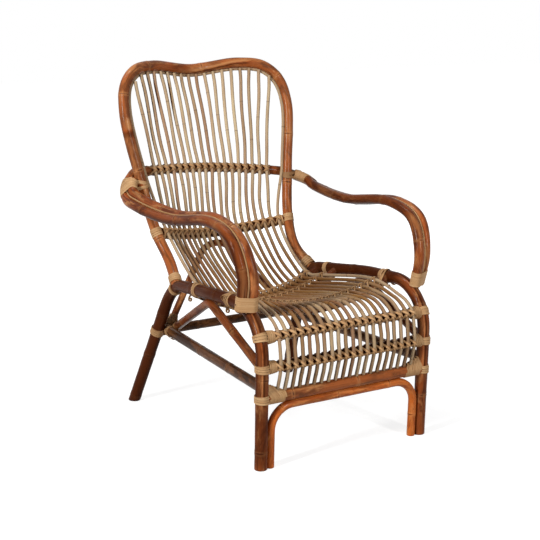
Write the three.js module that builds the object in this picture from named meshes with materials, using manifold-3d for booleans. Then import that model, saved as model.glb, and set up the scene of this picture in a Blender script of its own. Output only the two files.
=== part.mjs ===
// Rattan lounge armchair: a twin-lobed back, eighteen cane spokes that run on into a dished seat
// and down the front, doubled arm poles, arched braces, and joints bound with cane.
// Millimetres, +Z up. The front faces -Y and x = 0 is the middle plane.
import * as THREE from 'three';
import { mergeVertices } from 'three/addons/utils/BufferGeometryUtils.js';
import Module from 'manifold-3d';

const wasm = await Module();
wasm.setup();

// Pole and cane diameters
const LEG_DIAMETER = 33;
const BACK_DIAMETER = 30;
const ARM_DIAMETER = 27;
const ARM_FILLER_DIAMETER = 7;
const RAIL_DIAMETER = 25;
const BOTTOM_RAIL_DIAMETER = 31;
const FRONT_ARCH_DIAMETER = 22;
const SIDE_ARCH_DIAMETER = 23;
const REAR_ARCH_DIAMETER = 20;
const REAR_STRETCHER_DIAMETER = 26;
const SIDE_STRETCHER_DIAMETER = 28;
const HOOP_DIAMETER = 9;
const SPOKE_DIAMETER = 10;

// Clearances between pieces that touch
const FIT = 0.3;
const SADDLE_DEPTH = 1.2;

// Side loops: front leg, seat side rail and rear leg are one bent pole
const FRONT_FOOT_SPAN = 500;
const FRONT_KNEE_SPAN = 503;
const FRONT_KNEE_LEAN = 14;
const FRONT_KNEE_HEIGHT = 414;
const FRONT_KNEE_RADIUS = 117;
const RAIL_BULGE_SPAN = 498;
const RAIL_BULGE_DEPTH = 250;
const RAIL_BULGE_HEIGHT = 401;
const RAIL_BULGE_RADIUS = 500;
const REAR_KNEE_SPAN = 440;
const REAR_KNEE_DEPTH = 506;
const REAR_KNEE_HEIGHT = 372;
const REAR_KNEE_RADIUS = 120;
const REAR_FOOT_SPAN = 533;
const REAR_FOOT_DEPTH = 670;

// Back frame: half spans, depths and heights of the pole's centre line
const BACK_FOOT_DEPTH = 488;
const BACK_WAIST_SPAN = 418;
const BACK_WAIST_DEPTH = 545;
const BACK_WAIST_HEIGHT = 428;
const BACK_RIB_SPAN = 442;
const BACK_RIB_DEPTH = 601;
const BACK_RIB_HEIGHT = 505;
const BACK_ARM_SPAN = 488;
const BACK_ARM_DEPTH = 642;
const BACK_ARM_HEIGHT = 645;
const BACK_SHOULDER_SPAN = 540;
const BACK_SHOULDER_DEPTH = 683;
const BACK_SHOULDER_HEIGHT = 832;
const LOBE_CORNER_SPAN = 508;
const LOBE_CORNER_DEPTH = 707;
const LOBE_CORNER_HEIGHT = 906;
const LOBE_SPAN = 424;
const LOBE_DEPTH = 729;
const LOBE_HEIGHT = 945;
const LOBE_CROWN_SPAN = 280;
const LOBE_CROWN_DEPTH = 757;
const LOBE_CROWN_HEIGHT = 954;
const DIP_DEPTH = 789;
const DIP_HEIGHT = 938;

// Arms: the seam between the two poles of each arm, from its foot on the knee to the back
const ARM_FOOT = { span: 532, depth: 42, height: 398 };
const ARM_FRONT = { span: 540, depth: 27, height: 490 };
const ARM_SHOULDER = { span: 558, depth: 66, height: 574 };
const ARM_CROWN = { span: 560, depth: 165, height: 606 };
const ARM_REST = { span: 566, depth: 385, height: 584 };
const ARM_REAR = { span: 582, depth: 560, height: 597 };
const ARM_ELBOW_HEIGHT = 610;
const ARM_FOOT_TWIST = THREE.MathUtils.degToRad(30);

// Rails that carry the spokes
const UPPER_RAIL_BOW = 38;
const UPPER_RAIL_RISE = 10;
const UPPER_RAIL_HEIGHT = 646;
const UPPER_RAIL_TILT = 15;
const LOWER_RAIL_HEIGHT = 500;
const LOWER_RAIL_BOW = 65;
const LOWER_RAIL_SAG = 30;
const SEAT_REAR_RAIL_DEPTH = 440;
const SEAT_REAR_RAIL_DIP = 65;
const SEAT_MIDDLE_RAIL_DEPTH = 361;
const SEAT_MIDDLE_RAIL_DIP = 75;
const SEAT_FRONT_RAIL_DEPTH = 140;
const SEAT_FRONT_RAIL_DIP = 55;
const FRONT_UPPER_RAIL_HEIGHT = 338;
const FRONT_MIDDLE_RAIL_HEIGHT = 264;
const BOTTOM_RAIL_HEIGHT = 185;

// Braces under the seat
const FRONT_ARCH_RADIUS = 62;
const REAR_STRETCHER_HEIGHT = 226;
const SIDE_STRETCHER_FRONT_HEIGHT = 214;
const SIDE_ARCH_DEPTH = 250;
const SIDE_ARCH_RADIUS = 55;
const SIDE_ARCH_FRONT_HEIGHT = 262;
const REAR_ARCH_RADIUS = 70;

// Spokes: their count and their pitch at each rail, the hoop's legs taking the next place outside
const SPOKE_COUNT = 18;
const TIP_PITCH = 26;
const UPPER_PITCH = 21.8;
const LOWER_PITCH = 19.7;
const SEAT_REAR_PITCH = 18.7;
const SEAT_MIDDLE_PITCH = 19.2;
const SEAT_FRONT_PITCH = 21;
const FRONT_PITCH = 21.9;
const SPOKE_TIP_LENGTH = 4;

// Wound cane: strips round the joints and one strand along each rail that holds the canes down
const STRIP_WIDTH = 5;
const STRIP_THICKNESS = 1.6;
const STRIP_PITCH = 5.6;
const BENT_STRIP_PITCH = 6.4;
const STRAND_DIAMETER = 3;
const STRAND_SPREAD = 7.8;
const STRAND_ROOM = 1.3;
const STRAND_SLOPE = THREE.MathUtils.degToRad(30);
const ARM_BINDING = { start: 11, loops: 6, pitch: BENT_STRIP_PITCH };
const UPRIGHT_BINDING = { start: 36, loops: 4, pitch: BENT_STRIP_PITCH };
const REAR_LEG_BINDING = { start: 22, loops: 3, pitch: STRIP_PITCH };
const RAIL_END_BINDING = { start: 20.5, loops: 2, pitch: STRIP_PITCH };
const BOTTOM_END_BINDING = { start: 21, loops: 2, pitch: STRIP_PITCH };

// Where the canes turn down over the front upper rail: places behind and above the rail's axis
const SEAT_LIP = { behind: 42, above: 45 };
const SEAT_SHOULDER = { behind: 10, above: 33 };
const WRAP_ANGLE = THREE.MathUtils.degToRad(35);

// Facets: sides of a section and steps along a bend
const POLE_SIDES = 8;
const CANE_SIDES = 6;
const BEND_STEPS = 5;
const RAIL_STEPS = 10;
const BACK_STEPS = [3, 2, 2, 2, 4, 3, 2, 2];
const ARM_STEPS = [3, 3, 3, 3, 3];
const ELBOW_STEPS = [2, 2, 2];
const ARM_TWIST_STEPS = 6;
const SPOKE_STEPS = [2, 2];
const HOOP_STEPS = [1, 4];
const SEAT_STEPS = [5, 1, 2, 2];
const FRONT_STEPS = [1, 1, 1, 1, 1];
const STRAND_SIDES = 3;
const LOOP_STEPS = 7;
const ARM_LOOP_STEPS = 6;
const GAP_SAMPLES = 4;

const X_AXIS = new THREE.Vector3(1, 0, 0);
const FRONT = new THREE.Vector3(0, -1, 0);
const UP = new THREE.Vector3(0, 0, 1);
const FRONT_UP = new THREE.Vector3(0, -1, 1).normalize();

const chair = new THREE.Group();
const frame = new THREE.Group();
chair.add(frame);

function point(x, y, z) {
  return new THREE.Vector3(x, y, z);
}

function mirrored(stations) {
  return stations.map((p) => point(-p.x, p.y, p.z));
}

// The direction of a line of stations at each station, halfway between the two stretches there
function directions(stations) {
  const last = stations.length - 1;
  return stations.map((p, i) => {
    const before = stations[i].clone().sub(stations[Math.max(i - 1, 0)]).normalize();
    const after = stations[Math.min(i + 1, last)].clone().sub(stations[i]).normalize();
    return before.add(after).normalize();
  });
}

// Side vectors square to each direction, turned along the line from a first reference without twist
function sideVectors(along, reference) {
  let side = reference;
  return along.map((direction) => {
    side = side.clone().addScaledVector(direction, -side.dot(direction)).normalize();
    return side;
  });
}

// A path from station to station, for sections that are mitred at the stations and turned to the
// side vectors given there
class StationPath extends THREE.Curve {
  constructor(stations, tangents, normals) {
    super();
    this.stations = stations;
    this.tangents = tangents;
    this.normals = normals;
  }

  getUtoTmapping(u) {
    return u;
  }

  getPoint(t, target = new THREE.Vector3()) {
    const last = this.stations.length - 1;
    const i = Math.min(Math.floor(t * last), last - 1);
    return target.lerpVectors(this.stations[i], this.stations[i + 1], t * last - i);
  }

  computeFrenetFrames() {
    const { tangents, normals } = this;
    const binormals = tangents.map((t, i) => t.clone().cross(normals[i]));
    return { tangents, normals, binormals };
  }
}

function swept(corners, path) {
  const options = { steps: path.stations.length - 1, bevelEnabled: false, extrudePath: path };
  return new THREE.ExtrudeGeometry(new THREE.Shape(corners), options);
}

// A round pole along stations, with a corner of its section towards the reference
function sweep(stations, diameter, reference, sides = POLE_SIDES) {
  const corners = [];
  for (let k = 0; k < sides; k += 1) {
    const angle = (2 * Math.PI * k) / sides;
    corners.push(new THREE.Vector2(Math.cos(angle), Math.sin(angle)).multiplyScalar(diameter / 2));
  }
  const along = directions(stations);
  return swept(corners, new StationPath(stations, along, sideVectors(along, reference)));
}

// Straight stretches between corners, with a round bend at each corner that has a radius
function bent(corners) {
  const stations = [corners[0].at];
  for (let i = 1; i < corners.length - 1; i += 1) {
    const corner = corners[i].at;
    const back = corners[i - 1].at.clone().sub(corner).normalize();
    const ahead = corners[i + 1].at.clone().sub(corner).normalize();
    const half = back.angleTo(ahead) / 2;
    const inward = back.clone().add(ahead).normalize();
    const centre = corner.clone().addScaledVector(inward, corners[i].radius / Math.sin(half));
    const first = corner.clone().addScaledVector(back, corners[i].radius / Math.tan(half)).sub(centre);
    const last = corner.clone().addScaledVector(ahead, corners[i].radius / Math.tan(half)).sub(centre);
    const axis = first.clone().cross(last).normalize();
    const turn = first.angleTo(last);
    for (let k = 0; k <= BEND_STEPS; k += 1) {
      stations.push(first.clone().applyAxisAngle(axis, (turn * k) / BEND_STEPS).add(centre));
    }
  }
  stations.push(corners[corners.length - 1].at);
  return stations;
}

// A smooth line through points, with a number of steps in each stretch between them
function smooth(points, steps) {
  const curve = new THREE.CatmullRomCurve3(points, false, 'centripetal');
  const stretches = points.length - 1;
  const stations = [];
  for (let i = 0; i < stretches; i += 1) {
    for (let k = 0; k < steps[i]; k += 1) {
      stations.push(curve.getPoint((i + k / steps[i]) / stretches));
    }
  }
  stations.push(points[stretches].clone());
  return stations;
}

// The first place where a line of stations reaches a value on one axis
function crossing(stations, axis, value) {
  for (let i = 1; i < stations.length; i += 1) {
    const before = stations[i - 1][axis];
    const after = stations[i][axis];
    if ((before - value) * (after - value) <= 0 && before !== after) {
      return stations[i - 1].clone().lerp(stations[i], (value - before) / (after - before));
    }
  }
  throw new Error(`no crossing at ${axis} = ${value}`);
}

function toSolid(geometry) {
  const bare = geometry.clone();
  bare.deleteAttribute('normal');
  bare.deleteAttribute('uv');
  const merged = mergeVertices(bare);
  const vertProperties = new Float32Array(merged.getAttribute('position').array);
  const triVerts = new Uint32Array(merged.getIndex().array);
  return new wasm.Manifold(new wasm.Mesh({ numProp: 3, vertProperties, triVerts }));
}

function toGeometry(solid) {
  const mesh = solid.getMesh();
  const geometry = new THREE.BufferGeometry();
  geometry.setAttribute('position', new THREE.BufferAttribute(new Float32Array(mesh.vertProperties), 3));
  geometry.setIndex(new THREE.BufferAttribute(new Uint32Array(mesh.triVerts), 1));
  geometry.computeVertexNormals();
  return geometry;
}

// A pole with its ends and seats cut to fit the poles that it meets; offcuts are dropped
function fitted(geometry, cutters) {
  let solid = toSolid(geometry);
  for (const cutter of cutters) {
    solid = solid.subtract(toSolid(cutter));
  }
  const pieces = solid.decompose();
  pieces.sort((a, b) => b.volume() - a.volume());
  return toGeometry(pieces[0]);
}

function material(colour, roughness) {
  return new THREE.MeshStandardMaterial({ color: colour, roughness, metalness: 0 });
}

const POLE_LOOK = [0x97522d, 0.38];
const DARK_POLE_LOOK = [0x6e3a22, 0.42];
const ORANGE_POLE_LOOK = [0xb8622c, 0.36];
const SPOKE_LOOK = [0xb79a70, 0.5];
const CANE_LOOK = [0xcfa777, 0.55];

function add(name, geometry, look) {
  const mesh = new THREE.Mesh(geometry, material(...look));
  mesh.name = name;
  frame.add(mesh);
}

const SIDES = [{ name: 'left', sign: -1 }, { name: 'right', sign: 1 }];

// Side loops, with the feet cut level with the floor
const FOOT_OVERRUN = 30;
const FLOOR_SPAN = 4 * REAR_FOOT_DEPTH;
const floorBlock = new THREE.BoxGeometry(FLOOR_SPAN, FLOOR_SPAN, 4 * FOOT_OVERRUN)
  .translate(0, 0, -2 * FOOT_OVERRUN);

function belowFloor(foot, next) {
  const down = foot.clone().sub(next).normalize();
  return foot.clone().addScaledVector(down, FOOT_OVERRUN);
}

function sideLoop(sign) {
  const frontFoot = point(sign * FRONT_FOOT_SPAN / 2, 0, 0);
  const frontKnee = point(sign * FRONT_KNEE_SPAN / 2, -FRONT_KNEE_LEAN, FRONT_KNEE_HEIGHT);
  const bulge = point(sign * RAIL_BULGE_SPAN / 2, RAIL_BULGE_DEPTH, RAIL_BULGE_HEIGHT);
  const rearKnee = point(sign * REAR_KNEE_SPAN / 2, REAR_KNEE_DEPTH, REAR_KNEE_HEIGHT);
  const rearFoot = point(sign * REAR_FOOT_SPAN / 2, REAR_FOOT_DEPTH, 0);
  return bent([
    { at: belowFloor(frontFoot, frontKnee) },
    { at: frontKnee, radius: FRONT_KNEE_RADIUS },
    { at: bulge, radius: RAIL_BULGE_RADIUS },
    { at: rearKnee, radius: REAR_KNEE_RADIUS },
    { at: belowFloor(rearFoot, rearKnee) },
  ]);
}

const loops = {};
const loopClearance = {};
for (const { name, sign } of SIDES) {
  loops[name] = sideLoop(sign);
  loopClearance[name] = sweep(loops[name], LEG_DIAMETER + 2 * FIT, X_AXIS);
  const pole = sweep(loops[name], LEG_DIAMETER, X_AXIS);
  add(`side_loop_${name}`, fitted(pole, [floorBlock]), POLE_LOOK);
}

function onFrontLeg(name, height) {
  return crossing(loops[name], 'z', height);
}

function onSideRail(name, depth) {
  return crossing(loops[name], 'y', depth);
}

function onRearLeg(name, height) {
  return crossing([...loops[name]].reverse(), 'z', height);
}

// Back frame: one pole over both uprights and both lobes
function backHalf() {
  return [
    point(0, DIP_DEPTH, DIP_HEIGHT),
    point(LOBE_CROWN_SPAN / 2, LOBE_CROWN_DEPTH, LOBE_CROWN_HEIGHT),
    point(LOBE_SPAN / 2, LOBE_DEPTH, LOBE_HEIGHT),
    point(LOBE_CORNER_SPAN / 2, LOBE_CORNER_DEPTH, LOBE_CORNER_HEIGHT),
    point(BACK_SHOULDER_SPAN / 2, BACK_SHOULDER_DEPTH, BACK_SHOULDER_HEIGHT),
    point(BACK_ARM_SPAN / 2, BACK_ARM_DEPTH, BACK_ARM_HEIGHT),
    point(BACK_RIB_SPAN / 2, BACK_RIB_DEPTH, BACK_RIB_HEIGHT),
    point(BACK_WAIST_SPAN / 2, BACK_WAIST_DEPTH, BACK_WAIST_HEIGHT),
    onSideRail('right', BACK_FOOT_DEPTH),
  ];
}

const rightBack = backHalf();
const backPoints = [...mirrored(rightBack).reverse(), ...rightBack.slice(1)];
const backStations = smooth(backPoints, [...BACK_STEPS].reverse().concat(BACK_STEPS));
const backMiddle = (backStations.length - 1) / 2;
const backClearance = sweep(backStations, BACK_DIAMETER + 2 * FIT, FRONT);
const backPole = sweep(backStations, BACK_DIAMETER, FRONT);
add('back_frame', fitted(backPole, [loopClearance.left, loopClearance.right]), POLE_LOOK);

function onUpright(sign, height) {
  const half = backStations.slice(backMiddle);
  const place = crossing(half.filter((p) => p.z < BACK_SHOULDER_HEIGHT), 'z', height);
  return point(sign * place.x, place.y, place.z);
}

// Arms: two poles side by side, drawn from the seam between them. The back rail that they run into
// hangs a little higher on the left.
const armHalfPitch = (ARM_DIAMETER + FIT) / 2;
const fillerReach = (ARM_DIAMETER + ARM_FILLER_DIAMETER) / 2 + FIT;
const fillerHeight = Math.sqrt(fillerReach ** 2 - armHalfPitch ** 2);
const elbowStations = ELBOW_STEPS.reduce((sum, steps) => sum + steps, 0);

function armPoint({ span, depth, height }) {
  return point(span / 2, depth, height);
}

function seamPoints(railHeight) {
  const upright = onUpright(1, railHeight);
  const behind = (BACK_DIAMETER + ARM_DIAMETER) / 2 + FIT - SADDLE_DEPTH;
  const rear = armPoint(ARM_REAR);
  const elbowRadius = rear.x - upright.x;
  const elbowEnd = point(upright.x, upright.y + behind - armHalfPitch, railHeight);
  const elbowStart = point(rear.x, elbowEnd.y - elbowRadius, ARM_ELBOW_HEIGHT);
  const elbowMiddle = elbowStart.clone().lerp(elbowEnd, 0.5);
  const bulge = elbowRadius * (1 - Math.SQRT1_2) * Math.SQRT1_2;
  elbowMiddle.x += bulge;
  elbowMiddle.y += bulge;
  return [ARM_FOOT, ARM_FRONT, ARM_SHOULDER, ARM_CROWN, ARM_REST, ARM_REAR].map(armPoint)
    .concat([elbowStart, elbowMiddle, elbowEnd]);
}

// The pair is turned at its foot, so that the inner pole stands a little forward there
function armLines(sign) {
  const railHeight = UPPER_RAIL_HEIGHT - sign * UPPER_RAIL_TILT;
  const seam = smooth(seamPoints(railHeight), [...ARM_STEPS, ...ELBOW_STEPS]);
  const along = directions(seam);
  const side = sideVectors(along, X_AXIS).map((vector, i) => {
    const fade = Math.max(1 - i / ARM_TWIST_STEPS, 0);
    return vector.clone().applyAxisAngle(along[i], ARM_FOOT_TWIST * fade);
  });
  const beside = (sideways, outwards) => seam.map((p, i) => {
    const outer = side[i].clone().cross(along[i]);
    const place = p.clone().addScaledVector(side[i], sideways).addScaledVector(outer, outwards);
    place.x *= sign;
    return place;
  });
  return {
    seam: beside(0, 0),
    twist: point(sign * side[1].x, side[1].y, side[1].z),
    outer: beside(armHalfPitch, 0),
    inner: beside(-armHalfPitch, 0),
    filler: beside(0, fillerHeight).slice(0, -elbowStations),
  };
}

const arms = { left: armLines(-1), right: armLines(1) };

// The outer poles of both arms run on behind the uprights as the upper back rail
const upperRailEnds = [arms.left.outer.at(-1), arms.right.outer.at(-1)];
const upperRail = bowedRail(...upperRailEnds, UPPER_RAIL_BOW, -UPPER_RAIL_RISE);
const bowStations = [...arms.left.outer, ...upperRail.slice(1, -1), ...[...arms.right.outer].reverse()];
const loopCutters = [loopClearance.left, loopClearance.right];
const bowPole = sweep(bowStations, ARM_DIAMETER, X_AXIS);
const bowClearance = sweep(bowStations, ARM_DIAMETER + 2 * FIT, X_AXIS);
add('arm_bow', fitted(bowPole, [...loopCutters, backClearance]), POLE_LOOK);
for (const { name } of SIDES) {
  const pole = sweep(arms[name].inner, ARM_DIAMETER, X_AXIS);
  add(`arm_inner_${name}`, fitted(pole, [loopClearance[name], backClearance, bowClearance]), POLE_LOOK);
  add(`arm_filler_${name}`, sweep(arms[name].filler, ARM_FILLER_DIAMETER, X_AXIS, CANE_SIDES), CANE_LOOK);
}

// Rails: each one is a line of stations with a diameter, from the left end to the right end
function bowedRail(start, end, bow, sag) {
  const stations = [];
  for (let k = 0; k <= RAIL_STEPS; k += 1) {
    const share = (2 * k) / RAIL_STEPS - 1;
    const middle = 1 - share ** 2;
    const place = start.clone().lerp(end, k / RAIL_STEPS);
    place.y += bow * middle;
    place.z -= sag * middle;
    stations.push(place);
  }
  return stations;
}

function seatRail(depth, dip) {
  return { stations: bowedRail(onSideRail('left', depth), onSideRail('right', depth), 0, dip),
    diameter: RAIL_DIAMETER };
}

function frontRail(height, diameter) {
  return { stations: [onFrontLeg('left', height), onFrontLeg('right', height)], diameter };
}

const rails = {
  upper_back: { stations: upperRail, diameter: ARM_DIAMETER },
  lower_back: { stations: bowedRail(onUpright(-1, LOWER_RAIL_HEIGHT), onUpright(1, LOWER_RAIL_HEIGHT),
    LOWER_RAIL_BOW, LOWER_RAIL_SAG), diameter: RAIL_DIAMETER },
  seat_rear: seatRail(SEAT_REAR_RAIL_DEPTH, SEAT_REAR_RAIL_DIP),
  seat_middle: seatRail(SEAT_MIDDLE_RAIL_DEPTH, SEAT_MIDDLE_RAIL_DIP),
  seat_front: seatRail(SEAT_FRONT_RAIL_DEPTH, SEAT_FRONT_RAIL_DIP),
  front_upper: frontRail(FRONT_UPPER_RAIL_HEIGHT, RAIL_DIAMETER),
  front_middle: frontRail(FRONT_MIDDLE_RAIL_HEIGHT, RAIL_DIAMETER),
  front_bottom: frontRail(BOTTOM_RAIL_HEIGHT, BOTTOM_RAIL_DIAMETER),
};

for (const [name, rail] of Object.entries(rails)) {
  if (name !== 'upper_back') {
    const cutters = name === 'lower_back' ? [backClearance] : loopCutters;
    add(`${name}_rail`, fitted(sweep(rail.stations, rail.diameter, FRONT), cutters), POLE_LOOK);
  }
}

// Braces under the seat
const bottomClearance = sweep(rails.front_bottom.stations, BOTTOM_RAIL_DIAMETER + 2 * FIT, FRONT);

function frontArch() {
  const legLeft = onFrontLeg('left', 0);
  const legRight = onFrontLeg('right', 0);
  const inset = (LEG_DIAMETER + FRONT_ARCH_DIAMETER) / 2 + FIT - SADDLE_DEPTH;
  const middle = onFrontLeg('left', BOTTOM_RAIL_HEIGHT).y;
  const drop = (BOTTOM_RAIL_DIAMETER + FRONT_ARCH_DIAMETER) / 2 + FIT - SADDLE_DEPTH;
  const top = BOTTOM_RAIL_HEIGHT - drop;
  return bent([
    { at: point(legLeft.x + inset, legLeft.y, -FOOT_OVERRUN) },
    { at: point(legLeft.x + inset, middle, top), radius: FRONT_ARCH_RADIUS },
    { at: point(legRight.x - inset, middle, top), radius: FRONT_ARCH_RADIUS },
    { at: point(legRight.x - inset, legRight.y, -FOOT_OVERRUN) },
  ]);
}

const archPole = sweep(frontArch(), FRONT_ARCH_DIAMETER, FRONT);
add('front_arch', fitted(archPole, [...loopCutters, bottomClearance, floorBlock]), ORANGE_POLE_LOOK);

const rearStretcher = SIDES.map(({ name }) => onRearLeg(name, REAR_STRETCHER_HEIGHT));
const rearStretcherClearance = sweep(rearStretcher, REAR_STRETCHER_DIAMETER + 2 * FIT, FRONT);
const rearStretcherPole = sweep(rearStretcher, REAR_STRETCHER_DIAMETER, FRONT);
add('rear_stretcher', fitted(rearStretcherPole, loopCutters), DARK_POLE_LOOK);

// The three braces that share each end of the rear stretcher stand side by side on it
const rearLegX = onRearLeg('right', REAR_STRETCHER_HEIGHT).x;
const sideStretcherX = rearLegX - (LEG_DIAMETER + SIDE_STRETCHER_DIAMETER) / 2 - FIT;
const sideArchX = sideStretcherX - (SIDE_STRETCHER_DIAMETER + SIDE_ARCH_DIAMETER) / 2 - FIT;
const rearArchX = sideArchX + (SIDE_ARCH_DIAMETER + REAR_ARCH_DIAMETER) / 2 + FIT;

function onRearStretcher(x) {
  return point(x, rearStretcher[1].y, REAR_STRETCHER_HEIGHT);
}

// The corner of a bend whose crest touches a height
function crestCorner(start, end, crest, radius) {
  const back = start.clone().sub(crest).normalize();
  const ahead = end.clone().sub(crest).normalize();
  const half = back.angleTo(ahead) / 2;
  const rise = radius * (1 / Math.sin(half) - 1);
  return crest.clone().addScaledVector(back.add(ahead).normalize(), -rise);
}

function sideArch(name, sign) {
  const start = onRearStretcher(sign * sideArchX);
  const end = onFrontLeg(name, SIDE_ARCH_FRONT_HEIGHT);
  const crest = onSideRail(name, SIDE_ARCH_DEPTH);
  crest.z -= (LEG_DIAMETER + SIDE_ARCH_DIAMETER) / 2 + FIT - SADDLE_DEPTH;
  const corner = crestCorner(start, end, crest, SIDE_ARCH_RADIUS);
  return bent([{ at: start }, { at: corner, radius: SIDE_ARCH_RADIUS }, { at: end }]);
}

const stretcherClearance = [];
for (const { name, sign } of SIDES) {
  const stretcherFront = onFrontLeg(name, SIDE_STRETCHER_FRONT_HEIGHT);
  const stretcher = [onRearStretcher(sign * sideStretcherX), stretcherFront];
  const stretcherPole = sweep(stretcher, SIDE_STRETCHER_DIAMETER, X_AXIS);
  const cutters = [loopClearance[name], rearStretcherClearance];
  add(`side_stretcher_${name}`, fitted(stretcherPole, cutters), DARK_POLE_LOOK);
  stretcherClearance.push(sweep(stretcher, SIDE_STRETCHER_DIAMETER + 2 * FIT, X_AXIS));
  const arch = sweep(sideArch(name, sign), SIDE_ARCH_DIAMETER, X_AXIS);
  add(`side_arch_${name}`, fitted(arch, cutters), POLE_LOOK);
}

function rearArch() {
  const crest = crossing(rails.lower_back.stations, 'x', 0);
  const start = onRearStretcher(-rearArchX);
  const end = onRearStretcher(rearArchX);
  const away = start.clone().lerp(end, 0.5).sub(crest).normalize();
  crest.addScaledVector(away, (RAIL_DIAMETER + REAR_ARCH_DIAMETER) / 2 + FIT - SADDLE_DEPTH);
  return bent([{ at: start },
    { at: crestCorner(start, end, crest, REAR_ARCH_RADIUS), radius: REAR_ARCH_RADIUS }, { at: end }]);
}

const lowerBackClearance = sweep(rails.lower_back.stations, RAIL_DIAMETER + 2 * FIT, FRONT);
const rearArchPole = sweep(rearArch(), REAR_ARCH_DIAMETER, FRONT);
const rearArchCutters = [rearStretcherClearance, lowerBackClearance, ...stretcherClearance];
add('rear_arch', fitted(rearArchPole, rearArchCutters), POLE_LOOK);

// The hoop lies inside the back frame down to the arms; its legs then run on like two more spokes
function hoopTop() {
  const along = directions(backStations);
  const facing = sideVectors(along, FRONT);
  const reach = (BACK_DIAMETER + HOOP_DIAMETER) / 2 + FIT;
  const inside = backStations.map((p, i) => {
    const inward = along[i].clone().cross(facing[i]);
    return p.clone().addScaledVector(inward, reach);
  });
  return inside.slice(backMiddle).filter((p) => p.z > BACK_ARM_HEIGHT - RAIL_DIAMETER);
}

const hoopHalf = hoopTop();

const SEATING_ROUNDS = 5;

// A cane's contact with a rail that it crosses: the cane's centre, seated square to both
function seated(rail, x, along, facing, diameter) {
  const reach = (rail.diameter + diameter) / 2 + FIT;
  let railX = x;
  let contact = null;
  for (let k = 0; k < SEATING_ROUNDS; k += 1) {
    const i = Math.max(rail.stations.findIndex((p) => p.x >= railX), 1);
    const railAlong = rail.stations[i].clone().sub(rail.stations[i - 1]).normalize();
    const normal = railAlong.clone().cross(along).normalize();
    if (normal.dot(facing) < 0) {
      normal.negate();
    }
    const centre = crossing(rail.stations, 'x', railX).addScaledVector(normal, reach);
    contact = { rail, centre, normal, railAlong, reach, diameter };
    railX += x - centre.x;
  }
  return contact;
}

const seatCrossings = [
  { rail: rails.lower_back, pitch: LOWER_PITCH, facing: FRONT_UP, along: UP },
  { rail: rails.seat_rear, pitch: SEAT_REAR_PITCH, facing: UP, along: FRONT },
  { rail: rails.seat_middle, pitch: SEAT_MIDDLE_PITCH, facing: UP, along: FRONT },
  { rail: rails.seat_front, pitch: SEAT_FRONT_PITCH, facing: UP, along: FRONT },
];
const upperCrossing = { rail: rails.upper_back, pitch: UPPER_PITCH, facing: FRONT, along: UP };

// A cane's way from the seat over the lip, round the front upper rail and down to the bottom rail
function frontPart(seat, x, diameter) {
  const reach = (RAIL_DIAMETER + diameter) / 2 + FIT;
  const wrapReach = reach / Math.cos(WRAP_ANGLE / 2);
  const upper = crossing(rails.front_upper.stations, 'x', x);
  const lower = crossing(rails.front_middle.stations, 'x', x);
  const onTop = FRONT.clone().applyAxisAngle(X_AXIS, -WRAP_ANGLE);
  const crest = FRONT.clone().applyAxisAngle(X_AXIS, -WRAP_ANGLE / 2);
  const front = upper.clone().addScaledVector(FRONT, wrapReach);
  const lip = ({ behind, above }) => {
    const y = upper.y + behind;
    const share = (seat.y - y) / (seat.y - front.y);
    return point(THREE.MathUtils.lerp(seat.x, x, share), y, upper.z + above);
  };
  const middle = lower.clone().addScaledVector(FRONT, reach);
  const foot = crossing(rails.front_bottom.stations, 'x', x);
  const rise = middle.clone().sub(foot).normalize();
  foot.addScaledVector(rise, BOTTOM_RAIL_DIAMETER / 2 + FIT);
  const over = upper.clone().addScaledVector(onTop, wrapReach);
  const crestCentre = upper.clone().addScaledVector(crest, wrapReach);
  const railAlong = X_AXIS;
  return {
    points: [lip(SEAT_LIP), lip(SEAT_SHOULDER), over, front, middle, foot],
    contacts: [
      { rail: rails.front_upper, centre: crestCentre, normal: crest, railAlong, reach: wrapReach, diameter },
      { rail: rails.front_middle, centre: middle, normal: FRONT, railAlong, reach, diameter },
    ],
  };
}

// A cane over all the rails in its way, by its place in the row: its points and its contacts
function cane(head, crossings, place, diameter) {
  let contacts = crossings.map(({ rail, pitch, facing, along }) =>
    seated(rail, place * pitch, along, facing, diameter));
  let front = null;
  for (let k = 0; k < SEATING_ROUNDS; k += 1) {
    const centres = contacts.map(({ centre }) => centre);
    front = frontPart(centres[centres.length - 1], place * FRONT_PITCH, diameter);
    const line = [head, ...centres, front.points[0]];
    contacts = crossings.map(({ rail, pitch, facing }, i) => {
      const along = line[i + 2].clone().sub(line[i]);
      return seated(rail, place * pitch, along, facing, diameter);
    });
  }
  const points = [...contacts.map(({ centre }) => centre), ...front.points];
  return { points, contacts: [...contacts, ...front.contacts] };
}

// The hoop's legs
const hoopHead = hoopHalf[hoopHalf.length - 1];
const hoopLeg = cane(hoopHead, seatCrossings, (SPOKE_COUNT + 1) / 2, HOOP_DIAMETER);
const hoopLine = [hoopHalf[hoopHalf.length - 2], hoopHead, ...hoopLeg.points];
const hoopLegStations = smooth(hoopLine, [...HOOP_STEPS, ...SEAT_STEPS, ...FRONT_STEPS]).slice(2);
const hoopRight = [...hoopHalf, ...hoopLegStations];
const hoopStations = [...mirrored(hoopRight).reverse(), ...hoopRight.slice(1)];
add('back_hoop', sweep(hoopStations, HOOP_DIAMETER, FRONT, CANE_SIDES), SPOKE_LOOK);

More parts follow.
